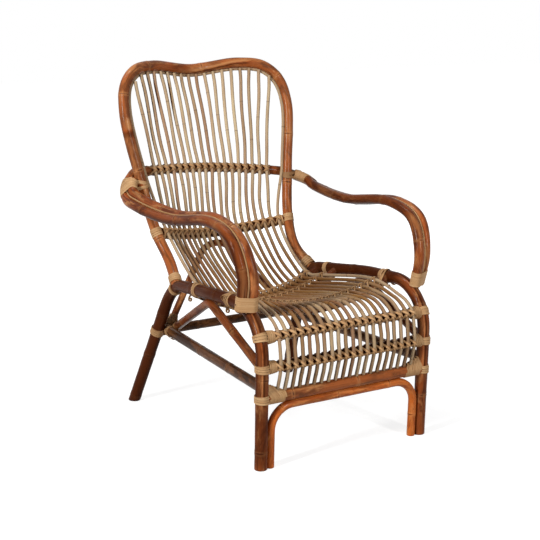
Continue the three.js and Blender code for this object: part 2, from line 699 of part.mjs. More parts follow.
// Spokes: their tips lie on the front of the hoop, between its two widest places
const widest = Math.max(...hoopHalf.map((p) => p.x));
const hoopCrown = hoopHalf.slice(0, hoopHalf.findIndex((p) => p.x === widest) + 1);
const crownStations = [...mirrored(hoopCrown).reverse(), ...hoopCrown.slice(1)];
const hoopRail = { stations: crownStations, diameter: HOOP_DIAMETER };
const spokes = [];
for (let i = 0; i < SPOKE_COUNT; i += 1) {
  const place = i - (SPOKE_COUNT - 1) / 2;
  const tip = seated(hoopRail, place * TIP_PITCH, UP, FRONT, SPOKE_DIAMETER).centre;
  const spoke = cane(tip, [upperCrossing, ...seatCrossings], place, SPOKE_DIAMETER);
  const rise = tip.clone().sub(spoke.points[0]).normalize();
  const head = tip.clone().addScaledVector(rise, SPOKE_TIP_LENGTH);
  const stations = smooth([head, ...spoke.points], [...SPOKE_STEPS, ...SEAT_STEPS, ...FRONT_STEPS]);
  const name = `spoke_${String(i + 1).padStart(2, '0')}`;
  add(name, sweep(stations, SPOKE_DIAMETER, FRONT, CANE_SIDES), SPOKE_LOOK);
  spokes.push(spoke);
}

// The least gap of a strand to itself, measured on points along it that are over half a loop apart
function leastGap(stations, breadth, loopSteps) {
  const samples = [];
  for (let i = 0; i < (stations.length - 1) * GAP_SAMPLES; i += 1) {
    const k = Math.floor(i / GAP_SAMPLES);
    samples.push(stations[k].clone().lerp(stations[k + 1], i / GAP_SAMPLES - k));
  }
  let least = Infinity;
  const apart = Math.ceil((loopSteps * GAP_SAMPLES) / 2);
  for (let a = 0; a < samples.length; a += 1) {
    for (let b = a + apart; b < samples.length; b += 1) {
      least = Math.min(least, samples[a].distanceTo(samples[b]));
    }
  }
  return least - breadth;
}

function addWound(name, geometry, stations, breadth, loopSteps) {
  console.log(`${name}: least gap to itself ${leastGap(stations, breadth, loopSteps).toFixed(2)} mm`);
  add(name, geometry, CANE_LOOK);
}

// The place and the direction at a distance along a line of stations
function walk(stations, distance) {
  const along = directions(stations);
  let left = distance;
  for (let i = 1; i < stations.length; i += 1) {
    const length = stations[i].distanceTo(stations[i - 1]);
    if (left <= length) {
      const at = stations[i - 1].clone().lerp(stations[i], left / length);
      return { at, direction: along[i - 1].clone().lerp(along[i], left / length).normalize() };
    }
    left -= length;
  }
  throw new Error(`the line ends before ${distance}`);
}

// A flat strip wound round a pole, or round two poles that stand a spread apart on a side
function addBinding(name, line, winding, core, reference, spread = 0, steps = LOOP_STEPS) {
  const { start, loops, pitch } = winding;
  const radius = (core + FIT + STRIP_THICKNESS / 2) / Math.cos(Math.PI / steps);
  const stations = [];
  const outward = [];
  for (let k = 0; k <= loops * steps; k += 1) {
    const angle = (2 * Math.PI * k) / steps;
    const { at, direction } = walk(line, start + (pitch * k) / steps);
    const side = sideVectors([direction], reference)[0];
    const other = direction.clone().cross(side);
    const out = side.clone().multiplyScalar(Math.cos(angle)).addScaledVector(other, Math.sin(angle));
    at.addScaledVector(side, spread * Math.sign(Math.cos(angle)));
    stations.push(at.addScaledVector(out, radius));
    outward.push(out);
  }
  const tangents = directions(stations);
  const normals = tangents.map((t, i) => sideVectors([t], outward[i])[0]);
  const corners = [[-1, -1], [1, -1], [1, 1], [-1, 1]]
    .map(([x, y]) => new THREE.Vector2((x * STRIP_THICKNESS) / 2, (y * STRIP_WIDTH) / 2));
  const strip = swept(corners, new StationPath(stations, tangents, normals));
  addWound(name, strip, stations, STRIP_WIDTH, steps);
}

const fillerCrest = fillerHeight + ARM_FILLER_DIAMETER / 2;
const armCore = Math.max(ARM_DIAMETER / 2, fillerCrest) + FIT;
for (const { name, sign } of SIDES) {
  const fromEnd = (stations) => (sign > 0 ? [...stations].reverse() : stations);
  const { seam, twist } = arms[name];
  addBinding(`arm_binding_${name}`, seam, ARM_BINDING, armCore, twist, armHalfPitch, ARM_LOOP_STEPS);
  const upright = fromEnd(backStations);
  addBinding(`upright_binding_${name}`, upright, UPRIGHT_BINDING, BACK_DIAMETER / 2, X_AXIS);
  const legTop = REAR_KNEE_HEIGHT - REAR_KNEE_RADIUS / 2;
  const rearLeg = [onRearLeg(name, REAR_STRETCHER_HEIGHT), onRearLeg(name, legTop)];
  addBinding(`rear_leg_binding_${name}`, rearLeg, REAR_LEG_BINDING, LEG_DIAMETER / 2, X_AXIS);
  for (const rail of ['front_upper', 'front_middle']) {
    const line = fromEnd(rails[rail].stations);
    addBinding(`${rail}_binding_${name}`, line, RAIL_END_BINDING, RAIL_DIAMETER / 2, FRONT);
  }
  const bottom = fromEnd(rails.front_bottom.stations);
  addBinding(`front_bottom_binding_${name}`, bottom, BOTTOM_END_BINDING, BOTTOM_RAIL_DIAMETER / 2, FRONT);
}

// A lashing runs over each cane on the slant and then round behind the rail to the next cane
function lashing(contacts) {
  const stations = [];
  contacts.forEach(({ rail, centre, normal, railAlong, reach, diameter }, i) => {
    const up = normal.clone().cross(railAlong);
    const round = (diameter / 2 + STRAND_ROOM + STRAND_DIAMETER / 2) / Math.cos(STRAND_SLOPE);
    const behind = (rail.diameter / 2 + FIT + STRAND_DIAMETER / 2) / Math.cos(STRAND_SLOPE);
    const place = (along, out, rise) => stations.push(centre.clone().addScaledVector(railAlong, along)
      .addScaledVector(normal, out).addScaledVector(up, rise));
    place(-STRAND_SPREAD, -reach, behind);
    place(-round * Math.cos(STRAND_SLOPE), round * Math.sin(STRAND_SLOPE), behind / 3);
    place(0, round, 0);
    place(round * Math.cos(STRAND_SLOPE), round * Math.sin(STRAND_SLOPE), -behind / 3);
    place(STRAND_SPREAD, -reach, -behind);
    if (i < contacts.length - 1) {
      const gap = (centre.distanceTo(contacts[i + 1].centre) - 2 * STRAND_SPREAD) / 3;
      const back = -reach - behind * Math.cos(STRAND_SLOPE);
      place(STRAND_SPREAD + gap, back, -behind / 2);
      place(STRAND_SPREAD + 2 * gap, back, behind / 2);
    }
  });
  return stations;
}

function mirroredContact(contact) {
  const flip = (v) => point(-v.x, v.y, v.z);
  const { centre, normal, railAlong } = contact;
  return { ...contact, centre: flip(centre), normal: flip(normal), railAlong: flip(railAlong).negate() };
}

const leftLegContacts = hoopLeg.contacts.map(mirroredContact);
const spokeContacts = spokes.flatMap(({ contacts }) => contacts);
const row = [...leftLegContacts, ...spokeContacts, ...hoopLeg.contacts];
for (const [name, rail] of Object.entries(rails)) {
  const contacts = row.filter((contact) => contact.rail === rail);
  if (contacts.length > 0) {
    const stations = lashing(contacts);
    const strand = sweep(stations, STRAND_DIAMETER, UP, STRAND_SIDES);
    addWound(`${name}_lashing`, strand, stations, STRAND_DIAMETER, LOOP_STEPS);
  }
}

// The origin lies on the floor, under the middle of the chair's box
const box = new THREE.Box3().setFromObject(frame);
const middle = box.getCenter(new THREE.Vector3());
frame.position.set(-middle.x, -middle.y, -box.min.z);

export default chair;
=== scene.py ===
import functools
import math

import bpy
import numpy as np
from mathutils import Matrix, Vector


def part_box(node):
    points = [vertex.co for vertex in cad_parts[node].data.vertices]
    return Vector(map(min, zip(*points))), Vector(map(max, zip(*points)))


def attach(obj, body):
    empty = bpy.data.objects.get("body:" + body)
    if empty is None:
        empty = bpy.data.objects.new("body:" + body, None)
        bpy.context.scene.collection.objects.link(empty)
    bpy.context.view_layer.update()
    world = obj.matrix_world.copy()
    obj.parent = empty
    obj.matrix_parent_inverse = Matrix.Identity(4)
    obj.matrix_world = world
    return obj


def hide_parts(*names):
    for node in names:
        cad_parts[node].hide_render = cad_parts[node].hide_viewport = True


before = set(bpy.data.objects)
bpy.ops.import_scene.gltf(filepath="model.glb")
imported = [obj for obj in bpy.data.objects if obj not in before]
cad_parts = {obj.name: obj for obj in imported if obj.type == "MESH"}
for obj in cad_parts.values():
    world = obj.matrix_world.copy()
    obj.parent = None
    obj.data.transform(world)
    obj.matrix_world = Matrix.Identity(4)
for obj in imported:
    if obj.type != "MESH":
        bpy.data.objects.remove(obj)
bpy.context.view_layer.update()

bl_info = {
    "name": "Rattan lounge armchair",
    "version": (1, 0, 0),
    "blender": (4, 5, 0),
    "location": "View3D > Sidebar > Armchair",
    "description": "Dresses the packed frame of a rattan armchair with poles, canes and bindings",
    "category": "Add Mesh",
}

MM = 0.001

# Pole and cane diameters, in millimetres like every length up to the stage
LEG = 33
BACK = 30
ARM = 27
FILLER = 4.8
RAIL = 25
BOTTOM_RAIL = 31
FRONT_ARCH = 22
SIDE_ARCH = 23
REAR_ARCH = 20
REAR_STRETCHER = 26
SIDE_STRETCHER = 28
HOOP = 9
HOOP_PRESS = 0.8
SPOKE = 10

# How far pieces that touch stand apart, and how deep a round seat is cut
FIT = 0.3
SADDLE = 1.2

# Half spans, depths and heights of the side loops' corners
FRONT_FOOT = (250, 0, 0)
FRONT_KNEE = (251.5, -14, 414)
RAIL_BULGE = (249, 250, 401)
REAR_KNEE = (220, 506, 372)
REAR_FOOT = (266.5, 670, 0)
LOOP_RADII = (117, 500, 120)

# Half spans, depths and heights of the back frame, from the dip down to the waist
BACK_POINTS = ((0, 789, 938), (140, 757, 954), (212, 729, 945), (254, 707, 906), (270, 683, 832),
               (244, 642, 645), (221, 601, 505), (209, 545, 428))
BACK_ARM_PLACE = 5
BACK_FOOT_DEPTH = 472
BACK_SHOULDER_HEIGHT = 832

# Half spans, depths and heights of the seam between the two poles of an arm
ARM_POINTS = ((266, 42, 398), (270, 27, 490), (279, 66, 574), (280, 165, 606), (283, 385, 584),
              (291, 560, 597))
ARM_ELBOW_HEIGHT = 610
ARM_FOOT_TWIST = math.radians(30)
ARM_TWIST_STRETCHES = 2
ELBOW_TWISTS = {-1: math.radians(32), 1: math.radians(16)}
FILLER_END = 72
INNER_ARM_END = 26

# Bands round the arms: the places where they start or end, their loops and their pitch
FOOT_BAND = (4, 8, 4.9)
ELBOW_BAND_END = 32
ELBOW_PITCH = 4.4
ELBOW_LOOPS = {"left": 10, "right": 14}
NAIL = 1.5

# Straps from the uprights to the elbow bands: how far over the arm's end they start, how far over their
# hold in the band they end, and that hold's distance from the arm's end
STRAP_LEVELS = {"left": -29, "right": -8}
STRAP_RISES = {"left": (9, -20), "right": (8, -9)}
STRAP_HOLD = 42
STRAP_HOLD_RADIUS = 8
STRAP_PITCH = 3.5

# Rails
UPPER_RAIL_BOW = 38
UPPER_RAIL_RISE = 10
UPPER_RAIL_HEIGHT = 646
UPPER_RAIL_TILT = 15
LOWER_RAIL_HEIGHT = 500
LOWER_RAIL_BOW = 65
LOWER_RAIL_SAG = 30
SEAT_RAILS = {"seat_rear": (440, 65), "seat_middle": (361, 75), "seat_front": (140, 55)}
FRONT_RAILS = {"front_upper": (338, RAIL), "front_middle": (264, RAIL),
               "front_bottom": (185, BOTTOM_RAIL)}

# Canes with a black streak near the top
STREAKED_CANES = (3, 5)

# Darkness of the rails and of the lashings on them. The rails behind and under the canes are darkened as
# painted shade, and the bottom front rail is made paler.
RAIL_SHADE, LASH_STAIN = 0.85, 0.05
RAIL_SHADES_AND_TONES = {"seat_rear": 0.8, "seat_middle": 0.8, "seat_front": 0.7, "front_bottom": -0.12}
# The lashings on the seat rails are darkened partly as painted shade, like the seat canes; the others are
# stained
LASH_STAINS_AND_SHADE = {"seat_rear": 0.6, "seat_middle": 0.6, "seat_front": 0.5, "upper_back": 0.3,
               "lower_back": 0.15}

# How far back the strap at a seat rail's end crosses the side rail
SEAT_STRAPS = {"left": {"seat_middle": -36, "seat_front": -4},
               "right": {"seat_rear": -36, "seat_front": 22}}

# Braces under the seat
FRONT_ARCH_RADIUS = 62
REAR_STRETCHER_HEIGHT = 226
SIDE_STRETCHER_FRONT_HEIGHT = 214
SIDE_ARCH_DEPTH = 250
SIDE_ARCH_RADIUS = 55
SIDE_ARCH_FRONT_HEIGHT = 262
REAR_ARCH_RADIUS = 70

# Canes: their count, and the pitch of the row at the hoop and at each rail
SPOKE_COUNT = 18
TIP_PITCH = 26
PITCHES = {"upper_back": 21.8, "lower_back": 19.7, "seat_rear": 18.7, "seat_middle": 19.2,
           "seat_front": 21}
FRONT_PITCH = 21.9
SPOKE_TIP = 4
SEAT_LIP = (42, 45)
SEAT_SHOULDER = (10, 33)
WRAP_ANGLE = math.radians(35)
SEATING_ROUNDS = 5
CANE_WAVE = 2.2
HELD_LENGTH = 45

# Points along a bend, along a curve's stretch and along a rail
BEND_POINTS = 25
CURVE_STEPS = 24
RAIL_POINTS = 81

# Rings about each node and at each end of a pole, in twelfths of its diameter
NODE_RINGS = 0.7 * np.array((-6, -3.2, -1.6, -0.8, -0.35, 0, 0.35, 0.8, 1.6, 3.2, 6))
END_RINGS = np.array((0, 0.25, 0.6, 1.1))
LEAST_STEP = 0.12
NODE_MARGIN = 8
NO_NODE = 1000.0
WAVER_LENGTHS = (31, 13.7)
FOOT_CHAMFER = 1.6
SOLE_SHARE = 0.92
FLOOR = "floor"

# Places a turn of the strips that are wound round poles, round two poles and in planes, and at a lashing
COIL_STEPS, LOOP_STEPS, WRAP_STEPS, LASH_STEPS = 26, 22, 24, 14
LOOP_LIFT, LOOP_RISE = 1.8, 0.25

# How far apart the grain of two poles and of two strips is taken, and the angle of sharp edges
POLE_STRIDE, STRIP_STRIDE = 3170.0, 2310.0
SHARP_ANGLE = math.radians(42)

RIGHT = np.array((1.0, 0.0, 0.0))
FRONT = np.array((0.0, -1.0, 0.0))
UP = np.array((0.0, 0.0, 1.0))
MIRROR = np.array((-1.0, 1.0, 1.0))
CHAIR_MIDDLE = np.array((0.0, 300.0, 0.0))
SIDES = {"left": -1, "right": 1}


def colour_of(red, green, blue):
    """Scene-linear colour of a colour that is written in screen values from 0 to 255."""
    screen = np.array((red, green, blue)) / 255
    linear = np.where(screen > 0.04045, ((screen + 0.055) / 1.055) ** 2.4, screen / 12.92)
    return tuple(float(c) for c in linear)


# ---------------------------------------------------------------------------
# Lines: every pole and cane is drawn along one of these
# ---------------------------------------------------------------------------

def unit(vectors):
    """Vectors divided by their lengths."""
    return vectors / np.linalg.norm(vectors, axis=-1, keepdims=True)


def dot(a, b):
    """Sum of the products of the parts, with the last axis kept."""
    return np.sum(a * b, axis=-1, keepdims=True)


def square_to(reference, along):
    """The reference less its part along a direction, at unit length."""
    return unit(reference - dot(reference, along) * along)


def travel(line):
    """Distance from the start of a line to each of its points."""
    return np.concatenate([[0.0], np.cumsum(np.linalg.norm(np.diff(line, axis=0), axis=1))])


def carried(distance, passed, values):
    """Rows of three values at given distances, linear between the distances where they are known."""
    return np.stack([np.interp(distance, passed, values[:, k]) for k in range(3)], axis=-1)


def at_distance(line, distance):
    """Places on a line at given distances from its start."""
    return carried(distance, travel(line), line)


def even(line, step):
    """A line with its points an even step apart."""
    length = travel(line)[-1]
    return at_distance(line, np.linspace(0, length, max(int(round(length / step)), 2) + 1))


def headings(line):
    """Direction of a line at each of its points: the difference of the neighbours, at unit length."""
    return unit(np.gradient(line, axis=0))


def bent(corners, radii):
    """Straight stretches joined by arcs. An arc's centre lies on the corner's bisector at radius /
    sin(half angle), and its points are centre + first * cos(turn) + (axis x first) * sin(turn)."""
    corners = np.array(corners, float)
    line = [corners[:1]]
    for before, corner, after, radius in zip(corners, corners[1:], corners[2:], radii):
        back, ahead = unit(before - corner), unit(after - corner)
        half = math.acos(float(back @ ahead)) / 2
        centre = corner + unit(back + ahead) * radius / math.sin(half)
        first = corner + back * radius / math.tan(half) - centre
        last = corner + ahead * radius / math.tan(half) - centre
        axis = unit(np.cross(first, last))
        turn = np.linspace(0, math.pi - 2 * half, BEND_POINTS)[:, None]
        line.append(centre + first * np.cos(turn) + np.cross(axis, first) * np.sin(turn))
    line.append(corners[-1:])
    return np.concatenate(line)


def smooth(points, steps=CURVE_STEPS):
    """A centripetal curve through points: in each stretch a cubic whose end slopes come from the
    neighbouring points, weighed by the square roots of their distances."""
    points = np.array(points, float)
    p = np.vstack([2 * points[0] - points[1], points, 2 * points[-1] - points[-2]])
    d = np.sqrt(np.linalg.norm(np.diff(p, axis=0), axis=1))[:, None]
    x0, x1, x2, x3 = p[:-3], p[1:-2], p[2:-1], p[3:]
    d0, d1, d2 = d[:-2], d[1:-1], d[2:]
    slope1 = ((x1 - x0) / d0 - (x2 - x0) / (d0 + d1) + (x2 - x1) / d1) * d1
    slope2 = ((x2 - x1) / d1 - (x3 - x1) / (d1 + d2) + (x3 - x2) / d2) * d1
    w = (np.arange(steps) / steps)[None, :, None]
    squares = (3 * (x2 - x1) - 2 * slope1 - slope2)[:, None]
    cubes = (2 * (x1 - x2) + slope1 + slope2)[:, None]
    line = x1[:, None] + slope1[:, None] * w + squares * w ** 2 + cubes * w ** 3
    return np.vstack([line.reshape(-1, 3), points[-1:]])


def crossing(line, axis, value):
    """The first place where a line reaches a value on one axis (0, 1 or 2)."""
    before, after = line[:-1, axis], line[1:, axis]
    hits = np.flatnonzero(((before - value) * (after - value) <= 0) & (before != after))
    if hits.size == 0:
        raise ValueError(f"no crossing at {value} on axis {axis}")
    i = hits[0]
    return line[i] + (line[i + 1] - line[i]) * (value - before[i]) / (after[i] - before[i])


def heading_at(line, place):
    """Direction of a line at its point nearest to a place."""
    nearest = np.argmin(np.linalg.norm(line - place, axis=1))
    return headings(line)[nearest]


def round_the_chair(line):
    """Level directions from the chair's middle to the points of a line."""
    return (line - CHAIR_MIDDLE) * (1, 1, 0)


def bowed(start, end, bow, sag):
    """A straight line from start to end, pushed back and down by a parabola that is 1 at the middle."""
    share = np.linspace(0, 1, RAIL_POINTS)[:, None]
    middle = 1 - (2 * share - 1) ** 2
    return start + (end - start) * share + middle * np.array((0.0, bow, -sag))


def crest_corner(start, end, crest, radius):
    """The corner of a bend whose arc touches a crest."""
    back, ahead = unit(start - crest), unit(end - crest)
    half = math.acos(float(back @ ahead)) / 2
    return crest - unit(back + ahead) * radius * (1 / math.sin(half) - 1)


def seated(rail, x, along, facing, diameter):
    """A cane's contact with a rail that it crosses: the cane's centre stands off the rail's axis by
    both radii, square to the rail and to the cane. The rail's place is moved until the centre is at x."""
    line, rail_diameter = rail
    reach = (rail_diameter + diameter) / 2 + FIT
    rail_x = x
    for _ in range(SEATING_ROUNDS):
        i = min(max(int(np.argmax(line[:, 0] >= rail_x)), 1), len(line) - 1)
        rail_along = unit(line[i] - line[i - 1])
        normal = unit(np.cross(rail_along, along))
        if normal @ facing < 0:
            normal = -normal
        centre = crossing(line, 0, rail_x) + normal * reach
        rail_x += x - centre[0]
    return {"centre": centre, "normal": normal, "rail_along": rail_along, "reach": reach,
            "cane": diameter, "rail": rail_diameter}


def wavering(line, held, chance):
    """A cane's line with slow sideways waves that fade out where the cane is held."""
    at = travel(line)
    away = np.linalg.norm(line[:, None] - np.array(held)[None], axis=-1).min(axis=1)
    free = 1 - np.exp(-(away / HELD_LENGTH) ** 2)
    waves = np.sin(at / chance.uniform(34, 60) + chance.uniform(0, 6.28)) + chance.uniform(-0.8, 0.8)
    start = np.clip(at / 40, 0, 1)
    return line + (CANE_WAVE * waves * free * start)[:, None] * RIGHT


class Layout:
    """The lines of all poles and canes, in millimetres about the middle plane at the front feet."""

    def __init__(self):
        self.loops = {name: bent(np.array((FRONT_FOOT, FRONT_KNEE, RAIL_BULGE, REAR_KNEE, REAR_FOOT))
                                 * (sign, 1, 1), LOOP_RADII) for name, sign in SIDES.items()}
        half = np.array(BACK_POINTS + (tuple(self.on_side_rail("right", BACK_FOOT_DEPTH)),))
        self.back_half = smooth(half)
        self.back = smooth(np.vstack([half[:0:-1] * MIRROR, half]))
        self.arms = {name: self.arm_lines(sign) for name, sign in SIDES.items()}
        upper = bowed(self.arms["left"]["outer"][-1], self.arms["right"]["outer"][-1],
                      UPPER_RAIL_BOW, -UPPER_RAIL_RISE)
        self.bow = np.vstack([self.arms["left"]["outer"], upper[1:-1], self.arms["right"]["outer"][::-1]])
        self.rails = {
            "upper_back": (upper, ARM),
            "lower_back": (bowed(*(self.on_upright(sign, LOWER_RAIL_HEIGHT) for sign in SIDES.values()),
                                 LOWER_RAIL_BOW, LOWER_RAIL_SAG), RAIL),
        }
        for name, (depth, dip) in SEAT_RAILS.items():
            ends = self.on_side_rail("left", depth), self.on_side_rail("right", depth)
            self.rails[name] = (bowed(*ends, 0, dip), RAIL)
        for name, (height, diameter) in FRONT_RAILS.items():
            ends = self.on_front_leg("left", height), self.on_front_leg("right", height)
            self.rails[name] = (bowed(*ends, 0, 0), diameter)
        self.lay_braces()
        self.lay_canes()

    def on_front_leg(self, name, height):
        return crossing(self.loops[name], 2, height)

    def on_side_rail(self, name, depth):
        return crossing(self.loops[name], 1, depth)

    def on_rear_leg(self, name, height):
        return crossing(self.loops[name][::-1], 2, height)

    def on_upright(self, sign, height):
        low = self.back_half[self.back_half[:, 2] < BACK_SHOULDER_HEIGHT]
        low = low[np.argmax(low[:, 0]):]
        return crossing(low, 2, height) * (sign, 1, 1)

    def arm_lines(self, sign):
        """The seam of an arm, and the lines of its two poles and of the filler cane beside it. The pair
        is turned about the seam at its foot, by an angle that fades out up the arm, and again at the
        elbow, where the outer pole lies lower."""
        rail_height = UPPER_RAIL_HEIGHT - sign * UPPER_RAIL_TILT
        upright = self.on_upright(1, rail_height)
        behind = (BACK + ARM) / 2 + FIT - SADDLE
        half_pitch = (ARM + FIT) / 2
        radius = ARM_POINTS[-1][0] - upright[0]
        end = np.array((upright[0], upright[1] + behind - half_pitch, rail_height))
        start = np.array((ARM_POINTS[-1][0], end[1] - radius, ARM_ELBOW_HEIGHT))
        bulge = radius * (1 - math.sqrt(0.5)) * math.sqrt(0.5)
        middle = (start + end) / 2 + np.array((bulge, bulge, 0))
        seam = smooth(np.vstack([ARM_POINTS, start, middle, end]))
        along = headings(seam)
        radial = square_to(round_the_chair(seam), along)
        share = np.clip((np.arange(len(seam)) - 3 * CURVE_STEPS) / (2 * CURVE_STEPS), 0, 1)[:, None]
        side = square_to((1 - share) * square_to(RIGHT + 0 * seam, along) + share * radial, along)
        fade = np.maximum(1 - np.arange(len(seam)) / (ARM_TWIST_STRETCHES * CURVE_STEPS), 0)
        stretch = np.arange(len(seam)) / CURVE_STEPS
        elbow = ELBOW_TWISTS[sign] * np.interp(stretch, (2.5, 4.5, 7, 8), (0, 1, 1, 0))
        turn = (ARM_FOOT_TWIST * fade + elbow)[:, None]
        side = side * np.cos(turn) + np.cross(along, side) * np.sin(turn)
        over = np.cross(side, along)
        reach = (ARM + FILLER) / 2
        rise = math.sqrt(reach ** 2 - half_pitch ** 2)
        flip = np.array((sign, 1, 1))
        return {
            "seam": seam * flip,
            "outer": (seam + side * half_pitch) * flip,
            "inner": (seam - side * half_pitch) * flip,
            "filler": (seam + over * rise)[travel(seam) < travel(seam)[-1] - FILLER_END] * flip,
        }

    def lay_braces(self):
        left, right = self.on_front_leg("left", 0), self.on_front_leg("right", 0)
        inset = (LEG + FRONT_ARCH) / 2 + FIT - SADDLE
        bottom_height, bottom = FRONT_RAILS["front_bottom"]
        top = bottom_height - ((bottom + FRONT_ARCH) / 2 + FIT - SADDLE)
        depth = self.on_front_leg("left", bottom_height)[1]
        self.front_arch = bent(((left[0] + inset, left[1], 0), (left[0] + inset, depth, top),
                                (right[0] - inset, depth, top), (right[0] - inset, right[1], 0)),
                               (FRONT_ARCH_RADIUS, FRONT_ARCH_RADIUS))
        ends = [self.on_rear_leg(name, REAR_STRETCHER_HEIGHT) for name in SIDES]
        self.rear_stretcher = bowed(*ends, 0, 0)
        stretcher_x = ends[1][0] - (LEG + SIDE_STRETCHER) / 2 - FIT
        arch_x = stretcher_x - (SIDE_STRETCHER + SIDE_ARCH) / 2 - FIT
        rear_arch_x = arch_x + (SIDE_ARCH + REAR_ARCH) / 2 + FIT

        def on_stretcher(x):
            return np.array((x, ends[1][1], REAR_STRETCHER_HEIGHT))

        self.side_stretchers, self.side_arches = {}, {}
        for name, sign in SIDES.items():
            self.side_stretchers[name] = bowed(on_stretcher(sign * stretcher_x),
                                               self.on_front_leg(name, SIDE_STRETCHER_FRONT_HEIGHT), 0, 0)
            start, end = on_stretcher(sign * arch_x), self.on_front_leg(name, SIDE_ARCH_FRONT_HEIGHT)
            crest = self.on_side_rail(name, SIDE_ARCH_DEPTH)
            crest[2] -= (LEG + SIDE_ARCH) / 2 + FIT - SADDLE
            corner = crest_corner(start, end, crest, SIDE_ARCH_RADIUS)
            self.side_arches[name] = bent((start, corner, end), (SIDE_ARCH_RADIUS,))
        start, end = on_stretcher(-rear_arch_x), on_stretcher(rear_arch_x)
        crest = crossing(self.rails["lower_back"][0], 0, 0)
        crest = crest + unit((start + end) / 2 - crest) * ((RAIL + REAR_ARCH) / 2 + FIT - SADDLE)
        corner = crest_corner(start, end, crest, REAR_ARCH_RADIUS)
        self.rear_arch = bent((start, corner, end), (REAR_ARCH_RADIUS,))

    def front_part(self, seat, x, diameter):
        """A cane's way from the seat over the lip, round the front upper rail and down to the bottom
        rail."""
        reach = (RAIL + diameter) / 2 + FIT
        wrap_reach = reach / math.cos(WRAP_ANGLE / 2)
        upper, lower, foot = (crossing(self.rails[name][0], 0, x) for name in FRONT_RAILS)
        on_top = np.array((0, -math.cos(WRAP_ANGLE), math.sin(WRAP_ANGLE)))
        crest = np.array((0, -math.cos(WRAP_ANGLE / 2), math.sin(WRAP_ANGLE / 2)))
        front = upper + FRONT * wrap_reach

        def lip(behind, above):
            y = upper[1] + behind
            share = (seat[1] - y) / (seat[1] - front[1])
            return np.array((seat[0] + (x - seat[0]) * share, y, upper[2] + above))

        middle = lower + FRONT * reach
        foot = foot + unit(middle - foot) * (BOTTOM_RAIL / 2 - FIT)
        points = [lip(*SEAT_LIP), lip(*SEAT_SHOULDER), upper + on_top * wrap_reach, front, middle, foot]
        contact = {"rail_along": RIGHT, "cane": diameter, "rail": RAIL}
        return points, {
            "front_upper": {**contact, "centre": upper + crest * wrap_reach, "normal": crest,
                            "reach": wrap_reach},
            "front_middle": {**contact, "centre": middle, "normal": FRONT, "reach": reach},
        }

    def cane(self, head, names, place, diameter):
        """A cane over all the rails in its way, by its place in the row: its points and its contacts."""
        facing = {"upper_back": FRONT, "lower_back": unit(FRONT + UP)}
        along = [UP if "back" in name else FRONT for name in names]
        for _ in range(SEATING_ROUNDS):
            contacts = {name: seated(self.rails[name], place * PITCHES[name], way,
                                     facing.get(name, UP), diameter) for name, way in zip(names, along)}
            centres = [contact["centre"] for contact in contacts.values()]
            points, front = self.front_part(centres[-1], place * FRONT_PITCH, diameter)
            line = np.array([head, *centres, points[0]])
            along = line[2:] - line[:-2]
        return centres + points, {**contacts, **front}

    def lay_canes(self):
        """The hoop inside the back frame with its legs, then the spokes from the hoop's front."""
        along = headings(self.back)
        inward = np.cross(along, square_to(FRONT + 0 * along, along))
        inside = self.back + inward * ((BACK + HOOP) / 2 - HOOP_PRESS)
        middle = len(inside) // 2
        half = inside[middle: middle + BACK_ARM_PLACE * CURVE_STEPS + 1]
        names = list(PITCHES)
        points, leg = self.cane(half[-1], names[1:], (SPOKE_COUNT + 1) / 2, HOOP)
        run = smooth([half[-CURVE_STEPS // 4], half[-1], *points])[CURVE_STEPS:]
        right = np.vstack([half, run[1:]])
        self.hoop = np.vstack([right[::-1] * MIRROR, right[1:]])
        crown = half[: int(np.argmax(half[:, 0])) + 1]
        rim = (np.vstack([crown[::-1] * MIRROR, crown[1:]]), HOOP)
        self.spokes, rows = [], []
        chance = np.random.default_rng(5)
        for place in np.arange(SPOKE_COUNT) - (SPOKE_COUNT - 1) / 2:
            tip = seated(rim, place * TIP_PITCH, UP, FRONT, SPOKE)["centre"]
            points, contacts = self.cane(tip, names, place, SPOKE)
            head = tip + unit(tip - points[0]) * SPOKE_TIP
            self.spokes.append(wavering(smooth([head, *points]), points, chance))
            rows.append(contacts)
        flipped = {name: {**contact, "centre": contact["centre"] * MIRROR,
                          "normal": contact["normal"] * MIRROR,
                          "rail_along": -contact["rail_along"] * MIRROR} for name, contact in leg.items()}
        rows = [flipped, *rows, leg]
        self.contacts = {name: [row[name] for row in rows if name in row]
                         for name in [*PITCHES, *FRONT_RAILS]}


@functools.lru_cache
def layout():
    return Layout()


# ---------------------------------------------------------------------------
# Surfaces: profiles carried along lines
# ---------------------------------------------------------------------------

def placed(points):
    """Points in the part's frame in metres. The frame's shift is read off the front bottom rail."""
    low, high = (np.array(corner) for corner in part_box("front_bottom_rail"))
    rail = layout().rails["front_bottom"][0].mean(axis=0)
    shift = (low + high) / 2 - rail * MM
    shift[2] = 0
    return points * MM + shift


def loft(rings, straight, knot, tint, stain=0.0):
    """A closed surface through rings of equal count: quads between neighbours, a face on each end."""
    rows, columns = rings.shape[:2]
    index = np.arange(rows * columns).reshape(rows, columns)
    next_one = np.roll(index, -1, axis=1)
    quads = np.stack([index[:-1], next_one[:-1], next_one[1:], index[1:]], axis=-1).reshape(-1, 4)
    spread = np.broadcast_to(knot[:, None], (rows, columns)).ravel()
    return {"points": rings.reshape(-1, 3),
            "corners": np.concatenate([quads.ravel(), index[0, ::-1], index[-1]]),
            "counts": np.concatenate([np.full(len(quads), 4), (columns, columns)]),
            "straight": straight.reshape(-1, 3), "knot": spread, "tint": np.full(rows * columns, tint),
            "stain": np.broadcast_to(stain, (rows, columns)).ravel()}


